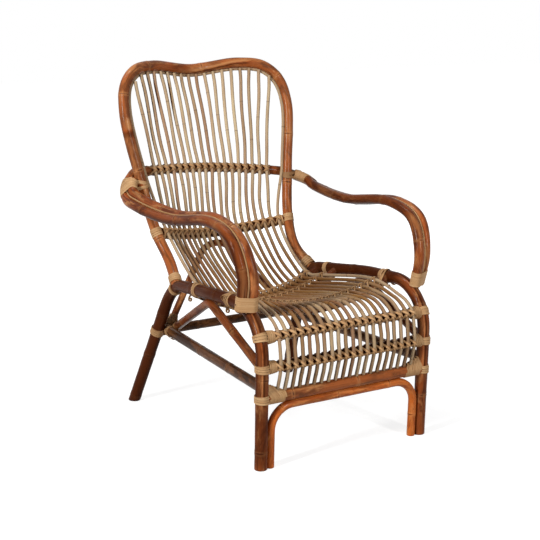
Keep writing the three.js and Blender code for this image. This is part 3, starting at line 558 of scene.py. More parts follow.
def coped(rings, along, at, neighbour):
    """Cuts the first end of a pole to the round of a neighbouring pole (a point, a direction and a
    radius): rings inside it are dropped, and the first one left is carried along onto its surface."""
    point, direction, radius = neighbour
    off = rings - point
    off = off - dot(off, direction) * direction
    clear = np.linalg.norm(off, axis=-1).min(axis=1) > radius + SADDLE
    first = int(np.argmax(clear))
    way = -along[first]
    flat = way - (way @ direction) * direction
    a, b = flat @ flat, off[first] @ flat
    c = np.sum(off[first] ** 2, axis=-1) - (radius - FIT) ** 2
    step = (-b - np.sqrt(np.maximum(b * b - a * c, 0))) / a
    end = rings[first] + step[:, None] * way
    return (np.concatenate([end[None], rings[first:]]),
            np.concatenate([along[first:first + 1], along[first:]]),
            np.concatenate([[at[first] - step.mean()], at[first:]]))


def footed(rings, along, at):
    """Cuts the first end of a pole level with the floor, with a small chamfer round the foot."""
    first = int(np.argmax(rings[..., 2].min(axis=1) > 2 * FOOT_CHAMFER))
    ring = rings[first]
    level = ring - along[first] * ((ring[:, 2] - FOOT_CHAMFER) / along[first, 2])[:, None]
    middle = level.mean(axis=0)
    sole = middle + (level - middle) * SOLE_SHARE
    sole[:, 2] = 0
    return (np.concatenate([sole[None], level[None], rings[first:]]),
            np.concatenate([along[first:first + 1]] * 2 + [along[first:]]),
            np.concatenate([[0.0, FOOT_CHAMFER], at[first:]]))


def pole(line, diameter, reference, seed, ends=(None, None), canelike=False, stain=None, finer=1):
    """A round pole along a line: point(s, angle) = line(s) + radius(s) * (cos angle * side(s) + sin angle *
    across(s)). The radius swells at each node of the cane, has a groove round it there, wavers slowly between
    nodes, and draws in at a free end. Ends are free, cut level with the floor, or coped. A stain is a function
    of the share of the length and the angle: 1 is dark, -1 is pale. It lays on real stain, and in places
    painted shade and painted highlights."""
    sizes = bpy.context.scene.armchair_sizes
    chance = np.random.default_rng(seed)
    dense = even(line, 1.0)
    passed = travel(dense)
    length, width = passed[-1], diameter / 12
    gap = (sizes.cane_node_gap if canelike else sizes.pole_node_gap) / MM
    nodes = np.cumsum(chance.uniform(0.7, 1.3, int(length / gap * 1.6) + 2)) * gap
    nodes = nodes - gap * chance.uniform(0.2, 0.7)
    nodes = nodes[(nodes > NODE_MARGIN) & (nodes < length - NODE_MARGIN)]
    steps = np.linspace(0, length, int(length / (sizes.ring_step / MM)) + 1)
    close = END_RINGS * width
    at = np.concatenate([steps, (nodes[:, None] + NODE_RINGS * width).ravel(), close, length - close])
    at = np.unique(np.clip(at, 0, length))
    at = at[np.concatenate([[True], np.diff(at) > LEAST_STEP * width])]
    at[-1] = length

    def off_node(at):
        return np.abs(at[:, None] - nodes).min(axis=1, initial=NO_NODE)

    side_ref = reference(dense) if callable(reference) else reference + 0 * dense
    along = unit(carried(at, passed, headings(dense)))
    side = square_to(carried(at, passed, side_ref), along)
    phases = chance.uniform(0, 2 * math.pi, 2)
    waver = sum(np.sin(at / wave + phase) for wave, phase in zip(WAVER_LENGTHS, phases))
    off = off_node(at) / width
    swell = np.exp(-(off / 2.6) ** 2) - 0.9 * np.exp(-(off / 0.45) ** 2)
    radius = diameter / 2 * (1 + sizes.node_swell * swell + sizes.waver * waver)
    for distance, end in ((at, ends[0]), (length - at, ends[1])):
        if end is None:
            radius = radius * (1 - 0.3 * np.exp(-(distance / (0.45 * width)) ** 2))
    columns = (sizes.cane_sides if canelike else sizes.pole_sides) * finer
    angle = np.linspace(0, 2 * math.pi, columns, endpoint=False)[None, :, None]
    arm = np.cos(angle) * side[:, None] + np.sin(angle) * np.cross(along, side)[:, None]
    rings = at_distance(dense, at)[:, None] + arm * radius[:, None, None]
    for end in ends:
        if end is not None:
            rings, along, at = footed(rings, along, at) if end is FLOOR else coped(rings, along, at, end)
        rings, along, at = rings[::-1], -along[::-1], length - at[::-1]
    turned = angle[..., 0] + 0 * at[:, None]
    straight = np.stack([np.cos(turned) * diameter / 2, np.sin(turned) * diameter / 2,
                         at[:, None] + 0 * turned + seed * POLE_STRIDE], axis=-1)
    mark = stain(at[:, None] / length, turned) if stain else 0.0
    return loft(rings, straight * MM, off_node(at) * MM, chance.uniform(-1, 1), mark)


def strip(path, normal, width, thickness, seed, stain=0.0):
    """A flat strip of cane along a path: a low domed section, its flat on the path, its crown outwards."""
    along = headings(path)
    out = square_to(normal, along)
    across = np.cross(along, out)
    profile = np.array(((1.0, 0.0), (0.72, 0.44), (0.0, 0.5), (0.0, -0.5), (0.72, -0.44)))
    profile = profile * (thickness, width)
    rings = path[:, None] + out[:, None] * profile[:, :1] + across[:, None] * profile[:, 1:]
    at = travel(path)
    chance = np.random.default_rng(seed)
    shape = rings.shape[:2]
    straight = np.stack([np.broadcast_to(profile[:, 1], shape), np.broadcast_to(profile[:, 0], shape),
                         np.broadcast_to(at[:, None] + seed * STRIP_STRIDE, shape)], axis=-1)
    return loft(rings, straight * MM, 0 * at + 1.0, chance.uniform(-1, 1), stain)


def drawn_tight(poles, plane, outward, lift):
    """The path of a strip that is drawn tight round some poles. In the plane with a given normal each
    pole (centre, direction, radius) cuts an ellipse; in each outward direction the strip lies on the
    ellipse that reaches furthest, lifted off it. Returns the places and the pole's normals there."""
    best_reach = np.full(len(outward), -np.inf)
    place, normal = np.zeros_like(outward), np.zeros_like(outward)
    for centre, direction, radius in poles:
        slope = dot(direction + 0 * outward, plane)
        slope = np.sign(slope) * np.maximum(np.abs(slope), 0.25)
        flat = direction - dot(direction + 0 * outward, plane) * plane
        size = np.linalg.norm(flat, axis=-1, keepdims=True)
        flat = flat / np.maximum(size, 1e-6)
        stretch = 1 / slope ** 2 - 1
        lean = dot(outward, flat)
        scale = np.sqrt(1 + stretch * lean ** 2)
        spot = centre + radius * (outward + stretch * lean * flat) / scale
        reach = np.sum(spot * outward, axis=-1)
        off = spot - centre
        face = unit(off - dot(off, direction + 0 * off) * direction)
        better = reach > best_reach
        best_reach = np.where(better, reach, best_reach)
        place[better], normal[better] = spot[better], face[better]
    return place + outward * np.reshape(lift, (-1, 1)), normal


def coil(lines, radii, start, loops, pitch, first, layers=1, thickness=0.0, lifts=(0.2, 0.2)):
    """A strip wound round poles that run side by side: at the distance start + pitch * turn along the
    first line the plane is square to it, and the strip lies round the poles' circles there. A second
    layer runs back over the first one. The lift off the poles changes evenly along the winding."""
    guide = lines[0]
    passed, way = travel(guide), headings(guide)
    turn = np.linspace(0, loops * layers, loops * layers * COIL_STEPS + 1)
    advance = np.where(turn > loops, 2 * loops - turn, turn)
    distance = start + pitch * advance
    plane = unit(carried(distance, passed, way))
    side = square_to(first + 0 * plane, plane)
    other = np.cross(plane, side)
    angle = (2 * math.pi * turn)[:, None]
    outward = side * np.cos(angle) + other * np.sin(angle)
    poles = [(carried(distance, passed, line), plane, radius) for line, radius in zip(lines, radii)]
    lift = np.interp(advance, (0, loops), lifts) + thickness * np.clip((turn - loops) * 4, 0, 1)
    return drawn_tight(poles, plane, outward, lift)


def looped(first, second, first_reach, second_reach, front, loops):
    """A strip wound round two poles (point, direction, radius) that meet at an angle. Its plane goes
    through a place on each pole, at reaches from their points that change evenly from turn to turn, and
    holds the front direction. Each turn lies a little higher than the one before."""
    turn = np.linspace(0, loops, loops * LOOP_STEPS + 1)
    share = (turn / loops)[:, None]
    ends = [point + way * (low + (high - low) * share) for (point, way, _), (low, high) in
            ((first, first_reach), (second, second_reach))]
    across = unit(ends[1] - ends[0])
    plane = unit(np.cross(across, front))
    out = np.cross(plane, across)
    angle = (2 * math.pi * turn + math.pi)[:, None]
    outward = out * np.cos(angle) + across * np.sin(angle)
    poles = [(end, way, radius) for end, (_, way, radius) in zip(ends, (first, second))]
    return drawn_tight(poles, plane, outward, LOOP_LIFT + LOOP_RISE * turn)


def wrapped(poles, axis, start, loops, pitch, lift):
    """A strip wound round straight poles (point, direction, radius), in planes square to an axis that
    move on from a start point by a pitch a loop. A pole goes through a plane at point + direction *
    ((place - point) . axis) / (direction . axis)."""
    turn = np.linspace(0, loops, loops * WRAP_STEPS + 1)
    axis = unit(axis) + np.zeros((len(turn), 3))
    side = square_to(FRONT + 0 * axis, axis)
    angle = (2 * math.pi * turn)[:, None]
    outward = np.cross(axis, side) * np.sin(angle) - side * np.cos(angle)
    place = start + axis * pitch * turn[:, None]
    cuts = [(point + way * dot(place - point, axis) / dot(way + 0 * axis, axis), way, radius)
            for point, way, radius in poles]
    return drawn_tight(cuts, axis, outward, lift)


def curl(root, way, fall, length, turns):
    """A loose end of strip: it leaves its root along a way and rolls up towards the fall, its heading
    turning with the square of the distance."""
    share = np.linspace(0, 1, 28)[:, None]
    angle = 2 * math.pi * turns * share ** 2
    path = root + np.cumsum(way * np.cos(angle) + fall * np.sin(angle), axis=0) * length / len(share)
    return path, way * np.sin(angle) - fall * np.cos(angle)


def stud(place, normal, radius, seed):
    """A round nail head: rings of radius * (1, 1, 0.75, 0.35) at rising heights."""
    side = square_to(UP if abs(normal @ UP) < 0.9 else RIGHT, normal)
    other = np.cross(normal, side)
    angle = np.linspace(0, 2 * math.pi, 10, endpoint=False)[:, None]
    round_ = side * np.cos(angle) + other * np.sin(angle)
    sizes = np.array((1.0, 1.0, 0.75, 0.35))[:, None, None] * radius
    heights = np.array((-0.8, 0.2, 0.55, 0.7))[:, None, None] * radius
    rings = place + normal * heights + round_ * sizes
    return loft(rings, (rings - place) * MM, np.ones(4), float(seed % 3) - 1)


# ---------------------------------------------------------------------------
# Finishes
# ---------------------------------------------------------------------------

class Nodes:
    """Shorthand for a node tree."""

    def __init__(self, tree):
        self.tree = tree

    def node(self, kind, inputs=None, **settings):
        made = self.tree.nodes.new(kind)
        for key, value in settings.items():
            setattr(made, key, value)
        self.feed(made, inputs or {})
        return made

    def feed(self, made, inputs):
        """Links each input of a node, or sets it where it is a plain value."""
        for key, value in inputs.items():
            if isinstance(value, bpy.types.NodeSocket):
                self.tree.links.new(value, made.inputs[key])
            else:
                made.inputs[key].default_value = value

    def math(self, operation, first, second):
        return self.node("ShaderNodeMath", {0: first, 1: second}, operation=operation).outputs[0]

    def span(self, value, low, high, to_low=0.0, to_high=1.0):
        """A value carried from one range to another, held at its ends."""
        return self.node("ShaderNodeMapRange", {"Value": value, "From Min": low, "From Max": high,
                                                "To Min": to_low, "To Max": to_high}).outputs[0]

    def seen(self):
        """1 on rays that come from the camera, off gloss or through glass, and 0 on others."""
        rays = self.node("ShaderNodeLightPath").outputs
        seen = self.math("MAXIMUM", rays["Is Camera Ray"], rays["Is Glossy Ray"])
        return self.math("MAXIMUM", seen, rays["Is Transmission Ray"])


class Finish(Nodes):
    """Shorthand for a node material on a Principled shader."""

    def __init__(self, name):
        self.material = bpy.data.materials.new(name)
        self.material.use_nodes = True
        super().__init__(self.material.node_tree)
        self.shader = self.tree.nodes["Principled BSDF"]

    def attribute(self, name, output="Fac"):
        return self.node("ShaderNodeAttribute", attribute_name=name).outputs[output]

    def noise(self, scale, detail=3.0, roughness=0.55, distortion=0.0):
        """Noise along the straightened piece, stretched by a scale on each axis."""
        straight = self.attribute("straight", "Vector")
        stretched = self.node("ShaderNodeMapping", {"Vector": straight, "Scale": scale}).outputs[0]
        return self.node("ShaderNodeTexNoise", {"Vector": stretched, "Scale": 1.0, "Detail": detail,
                                                "Roughness": roughness, "Distortion": distortion}).outputs[0]

    def ramp(self, factor, stops):
        made = self.node("ShaderNodeValToRGB", {"Fac": factor})
        elements = made.color_ramp.elements
        while len(elements) < len(stops):
            elements.new(0.5)
        for element, (position, colour) in zip(elements, stops):
            element.position = position
            element.color = (*colour, 1.0)
        return made.outputs[0]

    def mix(self, factor, first, second, blend="MIX"):
        made = self.node("ShaderNodeMix", data_type="RGBA", blend_type=blend)
        first, second = ((*value, 1.0) if isinstance(value, tuple) else value for value in (first, second))
        self.feed(made, {0: factor, 6: first, 7: second})
        return made.outputs[2]

    def laid(self, colour, layers):
        """A colour under layers (mask, low, high, most, colour): each is laid on by 0 where its mask is
        low, and by the most where it is high."""
        for mask, low, high, most, layer in layers:
            colour = self.mix(self.span(mask, low, high, 0.0, most), colour, layer)
        return colour

    def surface(self, colour, roughness, height, relief, gloss, coat=0.0, coat_roughness=0.2,
                warmth=(1.0, 1.0, 1.0)):
        """Joins colour, roughness and a bump of a given relief to the shader, under a coat of varnish."""
        bump = self.node("ShaderNodeBump", {"Height": height, "Strength": 1.0, "Distance": relief})
        self.feed(self.shader, {
            "Base Color": colour, "Roughness": roughness, "Normal": bump.outputs[0],
            "Specular IOR Level": gloss, "Specular Tint": (*warmth, 1.0), "Coat Weight": coat,
            "Coat Roughness": coat_roughness})
        return self.material


def shaded(colour, share):
    """A colour with its brightness times a share."""
    return tuple(c * share for c in colour)


def pole_finish(name, body, shade, light):
    """Stained and varnished rattan skin: faint fibres, cloudy stain, long dark streaks, worn pale patches,
    small flecks, and at each node a dark ring with a pale lip. The stain attribute darkens it further, as
    stain and as painted shade, and pales it, as wear and as painted highlights. Varnish is thinner where the
    stain attribute darkens it."""
    finish = Finish(name)
    stain = finish.attribute("stain")
    fibres = finish.noise((300, 300, 6), 4.0, 0.6)
    clouds = finish.noise((34, 34, 9), 4.0, 0.62, 0.8)
    streaks = finish.noise((105, 105, 5), 3.0, 0.6, 0.3)
    worn = finish.noise((58, 58, 13), 4.0, 0.65, 0.5)
    patches = finish.noise((16, 16, 7), 3.0, 0.55, 0.6)
    flecks = finish.noise((520, 520, 130), 2.0, 0.5)
    ragged = finish.span(finish.noise((60, 60, 60), 2.0, 0.5), 0.3, 0.7, -0.0016, 0.0032)
    ring = finish.math("ADD", finish.attribute("knot"), ragged)
    lip = finish.math("MULTIPLY", finish.span(ring, 0.0010, 0.0020), finish.span(ring, 0.0085, 0.0030))
    colour = finish.ramp(fibres, [(0.30, shaded(body, 0.78)), (0.50, body), (0.76, shaded(body, 1.18))])
    # The last two layers follow the stain attribute: dark as stain and painted shade, pale as wear and painted
    # highlights
    colour = finish.laid(colour, (
        (patches, 0.48, 0.62, 0.55, shaded(light, 0.85)), (clouds, 0.47, 0.60, 0.90, shade),
        (worn, 0.58, 0.68, 0.70, light), (streaks, 0.58, 0.65, 0.55, shaded(shade, 0.40)),
        (flecks, 0.66, 0.72, 0.75, shaded(shade, 0.25)), (lip, 0.0, 1.0, 0.35, light),
        (ring, 0.0018, 0.0004, 0.70, shaded(shade, 0.4)), (stain, 0.0, 1.0, 0.90, shaded(shade, 0.45)),
        (stain, 0.0, -1.0, 0.80, light)))
    tint = finish.ramp(finish.span(finish.attribute("tint"), -1, 1),
                       [(0.0, (0.86, 0.84, 0.82)), (1.0, (1.08, 1.06, 1.04))])
    colour = finish.mix(1.0, colour, tint, "MULTIPLY")
    roughness = finish.span(clouds, 0.3, 0.7, 0.24, 0.34)
    height = finish.math("MULTIPLY", finish.math("ADD", fibres, worn), 0.5)
    gloss = finish.span(stain, 0.0, 1.0, 0.06, 0.02)
    varnish = finish.span(stain, 0.0, 1.0, 0.11, 0.03)
    return finish.surface(colour, roughness, height, 0.0004, gloss, varnish, 0.18, (1.0, 0.85, 0.70))


def spoke_finish(name, body, shade, light):
    """Peeled cane: tan, with greenish and reddish canes in the row, fine fibres, stains, dark flecks and node
    rings. The stain attribute browns it, as stain and as painted shade."""
    finish = Finish(name)
    stain = finish.attribute("stain")
    fibres = finish.noise((800, 800, 12), 4.0, 0.6)
    clouds = finish.noise((110, 110, 14), 3.0, 0.6, 0.6)
    blush = finish.noise((30, 30, 5), 2.0, 0.5)
    spots = finish.noise((260, 260, 42), 2.0, 0.5)
    flecks = finish.noise((1300, 1300, 240), 2.0, 0.5)
    row = finish.span(finish.attribute("tint"), -1, 1)
    colour = finish.ramp(row, [(0.0, shade), (0.22, body), (0.62, body), (1.0, light)])
    colour = finish.laid(colour, (
        (blush, 0.45, 0.62, 0.5, shade), (fibres, 0.60, 0.34, 0.32, shaded(shade, 0.75)),
        (clouds, 0.54, 0.72, 0.55, shaded(shade, 0.72)), (spots, 0.68, 0.76, 0.8, shaded(shade, 0.22)),
        (flecks, 0.66, 0.72, 0.55, shaded(shade, 0.3)),
        (finish.attribute("knot"), 0.0011, 0.0003, 0.85, shaded(shade, 0.25))))
    # Brown laid on by the stain attribute: stain, and painted shade on the seat and down the canes' sides
    aged_and_shaded = finish.mix(1.0, colour, (0.41, 0.25, 0.115), "MULTIPLY")
    colour = finish.laid(colour, ((stain, 0.0, 1.0, 1.0, aged_and_shaded), (stain, 1.0, 2.0, 0.9, shaded(shade, 0.12))))
    return finish.surface(colour, finish.span(clouds, 0.3, 0.7, 0.36, 0.5), fibres, 0.00022, 0.10)


def strip_finish(name, body, shade, light):
    """Split cane strip: straw coloured, with fibre lines along it, edges darkened as painted shade in the gaps
    between strips, and lengths darkened by stain and by painted shade.
    """
    finish = Finish(name)
    fibres = finish.noise((1500, 300, 9), 3.0, 0.6)
    clouds = finish.noise((40, 40, 14), 3.0, 0.6)
    parts = finish.node("ShaderNodeSeparateXYZ", {"Vector": finish.attribute("straight", "Vector")})
    off_middle = finish.node("ShaderNodeMath", {0: parts.outputs[0]}, operation="ABSOLUTE").outputs[0]
    colour = finish.ramp(fibres, [(0.30, shade), (0.5, body), (0.70, light)])
    # off_middle darkens the edges as painted shade where strips meet; the stain attribute lays on stain and
    # painted shade
    colour = finish.laid(colour, (
        (clouds, 0.50, 0.70, 0.6, shade), (off_middle, 0.0020, 0.0032, 0.70, shaded(shade, 0.42)),
        (finish.attribute("tint"), -1, 1, 0.30, shade),
        (finish.attribute("stain"), 0.0, 1.0, 0.85, shaded(shade, 0.55))))
    return finish.surface(colour, finish.span(clouds, 0.3, 0.7, 0.44, 0.60), fibres, 0.00028, 0.10)


@functools.lru_cache
def nail_finish():
    """Blackened steel with a little rust."""
    finish = Finish("blackened nail")
    rust = finish.noise((900, 900, 900), 3.0)
    colour = finish.ramp(rust, [(0.35, colour_of(44, 38, 34)), (0.65, colour_of(84, 56, 40))])
    finish.feed(finish.shader, {"Metallic": 0.6})
    return finish.surface(colour, finish.span(rust, 0.3, 0.7, 0.35, 0.6), rust, 0.0001, 0.4)


@functools.lru_cache
def finish_of(slot):
    """The material of a slot of the record, in the panel's colours."""
    colours = bpy.context.scene.armchair_finish
    makers = {"pole": pole_finish, "dark_pole": pole_finish, "orange_pole": pole_finish,
              "spoke_cane": spoke_finish, "binding_cane": strip_finish}
    body, shade, light = (tuple(getattr(colours, f"{slot}_{part}")) for part in ("body", "shade", "light"))
    return makers[slot](slot.replace("_", " "), body, shade, light)


def add_piece(name, parts, slot, *nodes):
    """One object from surfaces: its points, faces and attributes, its finish, its body and the CAD nodes
    that it stands for. Without a slot it is made of nails."""
    offsets = np.cumsum([0] + [len(part["points"]) for part in parts])
    corners = np.concatenate([part["corners"] + offset for part, offset in zip(parts, offsets)])
    counts = np.concatenate([part["counts"] for part in parts])
    mesh = bpy.data.meshes.new(name)
    mesh.vertices.add(offsets[-1])
    mesh.loops.add(len(corners))
    mesh.polygons.add(len(counts))
    mesh.vertices.foreach_set("co", placed(np.concatenate([part["points"] for part in parts])).ravel())
    mesh.loops.foreach_set("vertex_index", corners)
    mesh.polygons.foreach_set("loop_start", np.cumsum(counts) - counts)
    mesh.update(calc_edges=True)
    for key, kind, field in (("straight", "FLOAT_VECTOR", "vector"), ("knot", "FLOAT", "value"),
                             ("tint", "FLOAT", "value"), ("stain", "FLOAT", "value")):
        values = np.concatenate([part[key] for part in parts]).astype(np.float32)
        mesh.attributes.new(key, kind, "POINT").data.foreach_set(field, values.ravel())
    mesh.shade_smooth()
    mesh.set_sharp_from_angle(angle=SHARP_ANGLE)
    mesh.materials.append(finish_of(slot) if slot else nail_finish())
    mesh.validate()
    piece = bpy.data.objects.new(name, mesh)
    bpy.context.scene.collection.objects.link(piece)
    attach(piece, "root")
    if nodes:
        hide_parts(*nodes)
    return piece


# ---------------------------------------------------------------------------
# Panel values
# ---------------------------------------------------------------------------

def colour_value(name, description, *screen):
    return bpy.props.FloatVectorProperty(name=name, description=description, subtype="COLOR", size=3, min=0,
                                         max=1, default=colour_of(*screen))


def length_value(name, description, default, least):
    return bpy.props.FloatProperty(name=name, description=description, default=default, min=least,
                                   unit="LENGTH")


def share_value(name, description, default, most):
    return bpy.props.FloatProperty(name=name, description=description, default=default, min=0, max=most,
                                   subtype="FACTOR")


class ArmchairSizes(bpy.types.PropertyGroup):
    pole_sides: bpy.props.IntProperty(name="Pole sides", description="Faces round a pole", default=24, min=8)
    cane_sides: bpy.props.IntProperty(name="Cane sides", description="Faces round a cane", default=12, min=6)
    ring_step: length_value("Ring step", "Distance between rings along a pole", 0.005, 0.001)
    pole_node_gap: length_value("Pole node gap", "Mean distance of a pole's nodes", 0.19, 0.03)
    cane_node_gap: length_value("Cane node gap", "Mean distance of a cane's nodes", 0.24, 0.03)
    node_swell: share_value("Node swell", "Share of the radius that a node stands out", 0.05, 0.2)
    waver: share_value("Waver", "Share of the radius that a pole wavers by", 0.008, 0.05)
    strip_width: length_value("Strip width", "Width of the binding strip", 0.0060, 0.002)
    strip_thickness: length_value("Strip thickness", "Thickness of the binding strip", 0.0015, 0.0003)
    lash_width: length_value("Lash width", "Width of the strip that lashes the canes", 0.0076, 0.002)
    lash_slope: bpy.props.FloatProperty(name="Lash slope", description="Angle of a lash to its rail",
                                        default=math.radians(45), subtype="ANGLE")


class ArmchairFinish(bpy.types.PropertyGroup):
    # The shade colours serve for stains and also for painted shade, and the pole light colour also for painted
    # highlights, where the stain attribute and the strips' edges lay them on
    pole_body: colour_value("Pole", "Main colour of the poles", 156, 80, 36)
    pole_shade: colour_value("Pole shade", "Dark stain of the poles", 92, 42, 18)
    pole_light: colour_value("Pole light", "Worn and pale streaks of the poles", 198, 138, 86)
    dark_pole_body: colour_value("Dark pole", "Main colour of the braces at the back", 86, 50, 25)
    dark_pole_shade: colour_value("Dark pole shade", "Dark stain of the braces", 44, 24, 12)
    dark_pole_light: colour_value("Dark pole light", "Pale streaks of the braces", 128, 86, 52)
    orange_pole_body: colour_value("Orange pole", "Main colour of the front arch", 198, 104, 42)
    orange_pole_shade: colour_value("Orange pole shade", "Dark stain of the front arch", 146, 68, 26)
    orange_pole_light: colour_value("Orange pole light", "Pale streaks of the front arch", 212, 142, 82)
    spoke_cane_body: colour_value("Cane", "Main colour of the canes", 190, 167, 134)
    spoke_cane_shade: colour_value("Cane shade", "Reddish canes and stains", 168, 131, 102)
    spoke_cane_light: colour_value("Cane light", "Pale canes", 209, 189, 152)
    binding_cane_body: colour_value("Strip", "Main colour of the bindings", 196, 156, 110)
    binding_cane_shade: colour_value("Strip shade", "Stained lengths and edges of the bindings", 158, 112, 72)
    binding_cane_light: colour_value("Strip light", "Pale fibres of the bindings", 216, 180, 136)


# ---------------------------------------------------------------------------
# Operators
# ---------------------------------------------------------------------------

def neighbour(line, place, diameter):
    """A pole that another one is cut to: a place on its line, its direction there and its radius."""
    return place, heading_at(line, place), diameter / 2


def ends_on(line, *carriers):
    """What the two ends of a line are cut to: the poles (line, diameter) that carry them."""
    return [neighbour(carrier, line[end], diameter) for (carrier, diameter), end in zip(carriers, (0, -1))]


def leg_poles():
    """The two side loops as poles that carry others."""
    return [(line, LEG) for line in layout().loops.values()]


def between(share, low, high, soft=0.03):
    """1 between two shares of a length and 0 outside them, with soft ends."""
    return np.clip((share - low) / soft + 0.5, 0, 1) * np.clip((high - share) / soft + 0.5, 0, 1)


def line_at(angle, place, width):
    """A line along a pole at one angle: exp(-(angle off / width) squared)."""
    off = np.angle(np.exp(1j * (angle - np.radians(place))))
    return np.exp(-(off / width) ** 2)


def leg_stain_and_shade(front):
    """Stain and painted light of a side loop. The front leg is dark at its foot and has dark lines up its
    front, with a pale edge beside them that is partly a painted highlight. The side rail and the rear leg are
    darkened, mostly as painted shade and partly as a darker stain."""
    def stain(share, angle):
        # Dark groove lines up the front leg; the pale line beside them, at -118 degrees, is partly a painted
        # highlight
        dark = 1.3 * line_at(angle, -104, 0.13) + 0.6 * line_at(angle, 175, 0.4)
        upper = between(share, 0.14, 0.36) * (0.6 * front + dark - 0.8 * line_at(angle, -118, 0.13))
        foot = 0.75 * front * between(share, 0, 0.135)
        # The side rail (shares 0.36 to 0.66) and the rear leg are darkened mostly as painted shade
        return upper + foot + between(share, 0.36, 0.66) + between(share, 0.66, 1.1)
    return stain


def bow_stain_and_shade(share, angle):
    """The near arm is stained brown, with painted shade outside and below it. The rail behind the canes is
    darkened as painted shade, and the far arm is darkened as painted shade, most at its back."""
    # Near arm: brown stain, and painted shade along its outer underside
    near = between(share, -0.1, 0.32, 0.04) * (0.45 + 0.75 * line_at(angle, -50, 0.9))
    # Painted shade on the rail behind the canes and on the far arm
    return near + 0.6 * between(share, 0.40, 0.60) + 0.8 * between(share, 0.62, 0.86, 0.08)


def back_stain_and_painted_light(share, angle):
    """The back frame has a splice up its near side: a pale patch over a dark ring, dark outside below it. A
    second splice runs along its top as a pale line, which is a painted highlight along the splice's edge, with
    a dark one under it. Near the dip it is darkened as painted shade, and all over it is made a little paler."""
    pale = line_at(angle, 5, 0.55) * between(share, 0.268, 0.286, 0.008)
    splice = 0.8 * between(share, 0.257, 0.268, 0.006) - pale
    below = 0.6 * between(share, 0.21, 0.257, 0.02) * line_at(angle, -100, 0.5)
    drift = 15 - 450 * (share - 0.50)
    # Top splice: a dark line, and beside it a pale line that is a painted highlight along the splice's edge
    pair = line_at(angle, drift + 26, 0.2) - 0.9 * line_at(angle, drift, 0.22)
    top = between(share, 0.50, 0.60, 0.01) * pair
    # Painted shade near the dip, between shares 0.455 and 0.495; the -0.12 makes the whole frame a little
    # paler
    return splice + below + top + 0.4 * between(share, 0.455, 0.495, 0.02) - 0.12


def inner_arm_stain(depth):
    """The inner pole of an arm is darker behind its front bend."""
    return lambda share, angle: depth * between(share, 0.25, 1.1, 0.2) + 0 * angle


def even_darkness(depth):
    """The same darkness all over: a stain on the hoop, the filler canes and the side arches, and painted shade
    on the rails.
    """
    return lambda share, angle: depth + 0 * share * angle


def cane_stain_and_shade(top, front, edge, streak):
    """Canes are palest up the back and browner on the seat, partly as painted shade. They are of different
    browns at their two ends, and darkened down their two sides as painted shade. Some have a black streak near
    the top."""
    def stain(share, angle):
        # The seat's brown is partly painted shade
        seat = 0.90 * between(share, 0.34, 0.80, 0.25)
        # Painted shade down the two sides of each cane
        sides = line_at(angle, 112, 0.7) + 0.7 * line_at(angle, -52, 0.6)
        black = streak * line_at(angle, 60, 0.5) * between(share, 0.028, 0.075, 0.02)
        ends = top * between(share, -0.1, 0.2, 0.08) + front * between(share, 0.78, 1.2, 0.08)
        return np.minimum(ends + seat + edge * sides, 1) + black
    return stain


class ARMCHAIR_OT_side_loops(bpy.types.Operator):
    """Front leg, seat side rail and rear leg of each side, bent from one pole"""
    bl_idname = "armchair.side_loops"
    bl_label = "Side loops"

    def execute(self, context):
        for k, name in enumerate(SIDES):
            made = pole(layout().loops[name], LEG, RIGHT, 11 + k, (FLOOR, FLOOR), finer=2,
                        stain=leg_stain_and_shade(1 - 0.5 * k))
            add_piece(f"{name}_side_loop", [made], "pole", f"side_loop_{name}")
        return {"FINISHED"}


class ARMCHAIR_OT_back(bpy.types.Operator):
    """Back frame of one bent pole, and the hoop of thin cane inside it"""
    bl_idname = "armchair.back"
    bl_label = "Back frame and hoop"

    def execute(self, context):
        lines = layout()
        ends = ends_on(lines.back, *leg_poles())
        frame_pole = pole(lines.back, BACK, FRONT, 21, ends, stain=back_stain_and_painted_light, finer=2)
        add_piece("twin_lobed_back", [frame_pole], "pole", "back_frame")
        hoop = pole(lines.hoop, HOOP, FRONT, 22, canelike=True, stain=even_darkness(0.25))
        add_piece("inner_hoop", [hoop], "spoke_cane", "back_hoop")
        return {"FINISHED"}


class ARMCHAIR_OT_arms(bpy.types.Operator):
    """Outer arm poles that run on as the upper back rail, inner arm poles and filler canes"""
    bl_idname = "armchair.arms"
    bl_label = "Arms"

    def execute(self, context):
        lines = layout()
        bow = pole(lines.bow, ARM, round_the_chair, 31, stain=bow_stain_and_shade)
        add_piece("outer_arm_bow", [bow], "pole", "arm_bow")
        for k, name in enumerate(SIDES):
            arm = lines.arms[name]
            shown = travel(arm["seam"]) < travel(arm["seam"])[-1] - INNER_ARM_END
            inner = pole(arm["inner"][shown], ARM, round_the_chair, 32 + k,
                         stain=inner_arm_stain(0.3 + 0.35 * k))
            add_piece(f"{name}_inner_arm", [inner], "pole", f"arm_inner_{name}")
            filler = pole(arm["filler"], FILLER, round_the_chair, 34 + k, canelike=True,
                          stain=even_darkness(0.5 - 0.4 * k))
            add_piece(f"{name}_seam_cane", [filler], "binding_cane", f"arm_filler_{name}")
        return {"FINISHED"}


class ARMCHAIR_OT_rails(bpy.types.Operator):
    """Lower back rail, seat rails and front rails, coped to the poles that carry them"""
    bl_idname = "armchair.rails"
    bl_label = "Rails"

    def execute(self, context):
        lines = layout()
        for k, (name, (line, diameter)) in enumerate(lines.rails.items()):
            if name != "upper_back":
                carriers = [(lines.back, BACK)] * 2 if name == "lower_back" else leg_poles()
                # The rails behind and under the canes are darkened all over as painted shade
                made = pole(line, diameter, FRONT, 41 + k, ends_on(line, *carriers),
                            stain=even_darkness(RAIL_SHADES_AND_TONES.get(name, RAIL_SHADE)))
                add_piece(f"cross_rail_{name}", [made], "pole", f"{name}_rail")
        return {"FINISHED"}


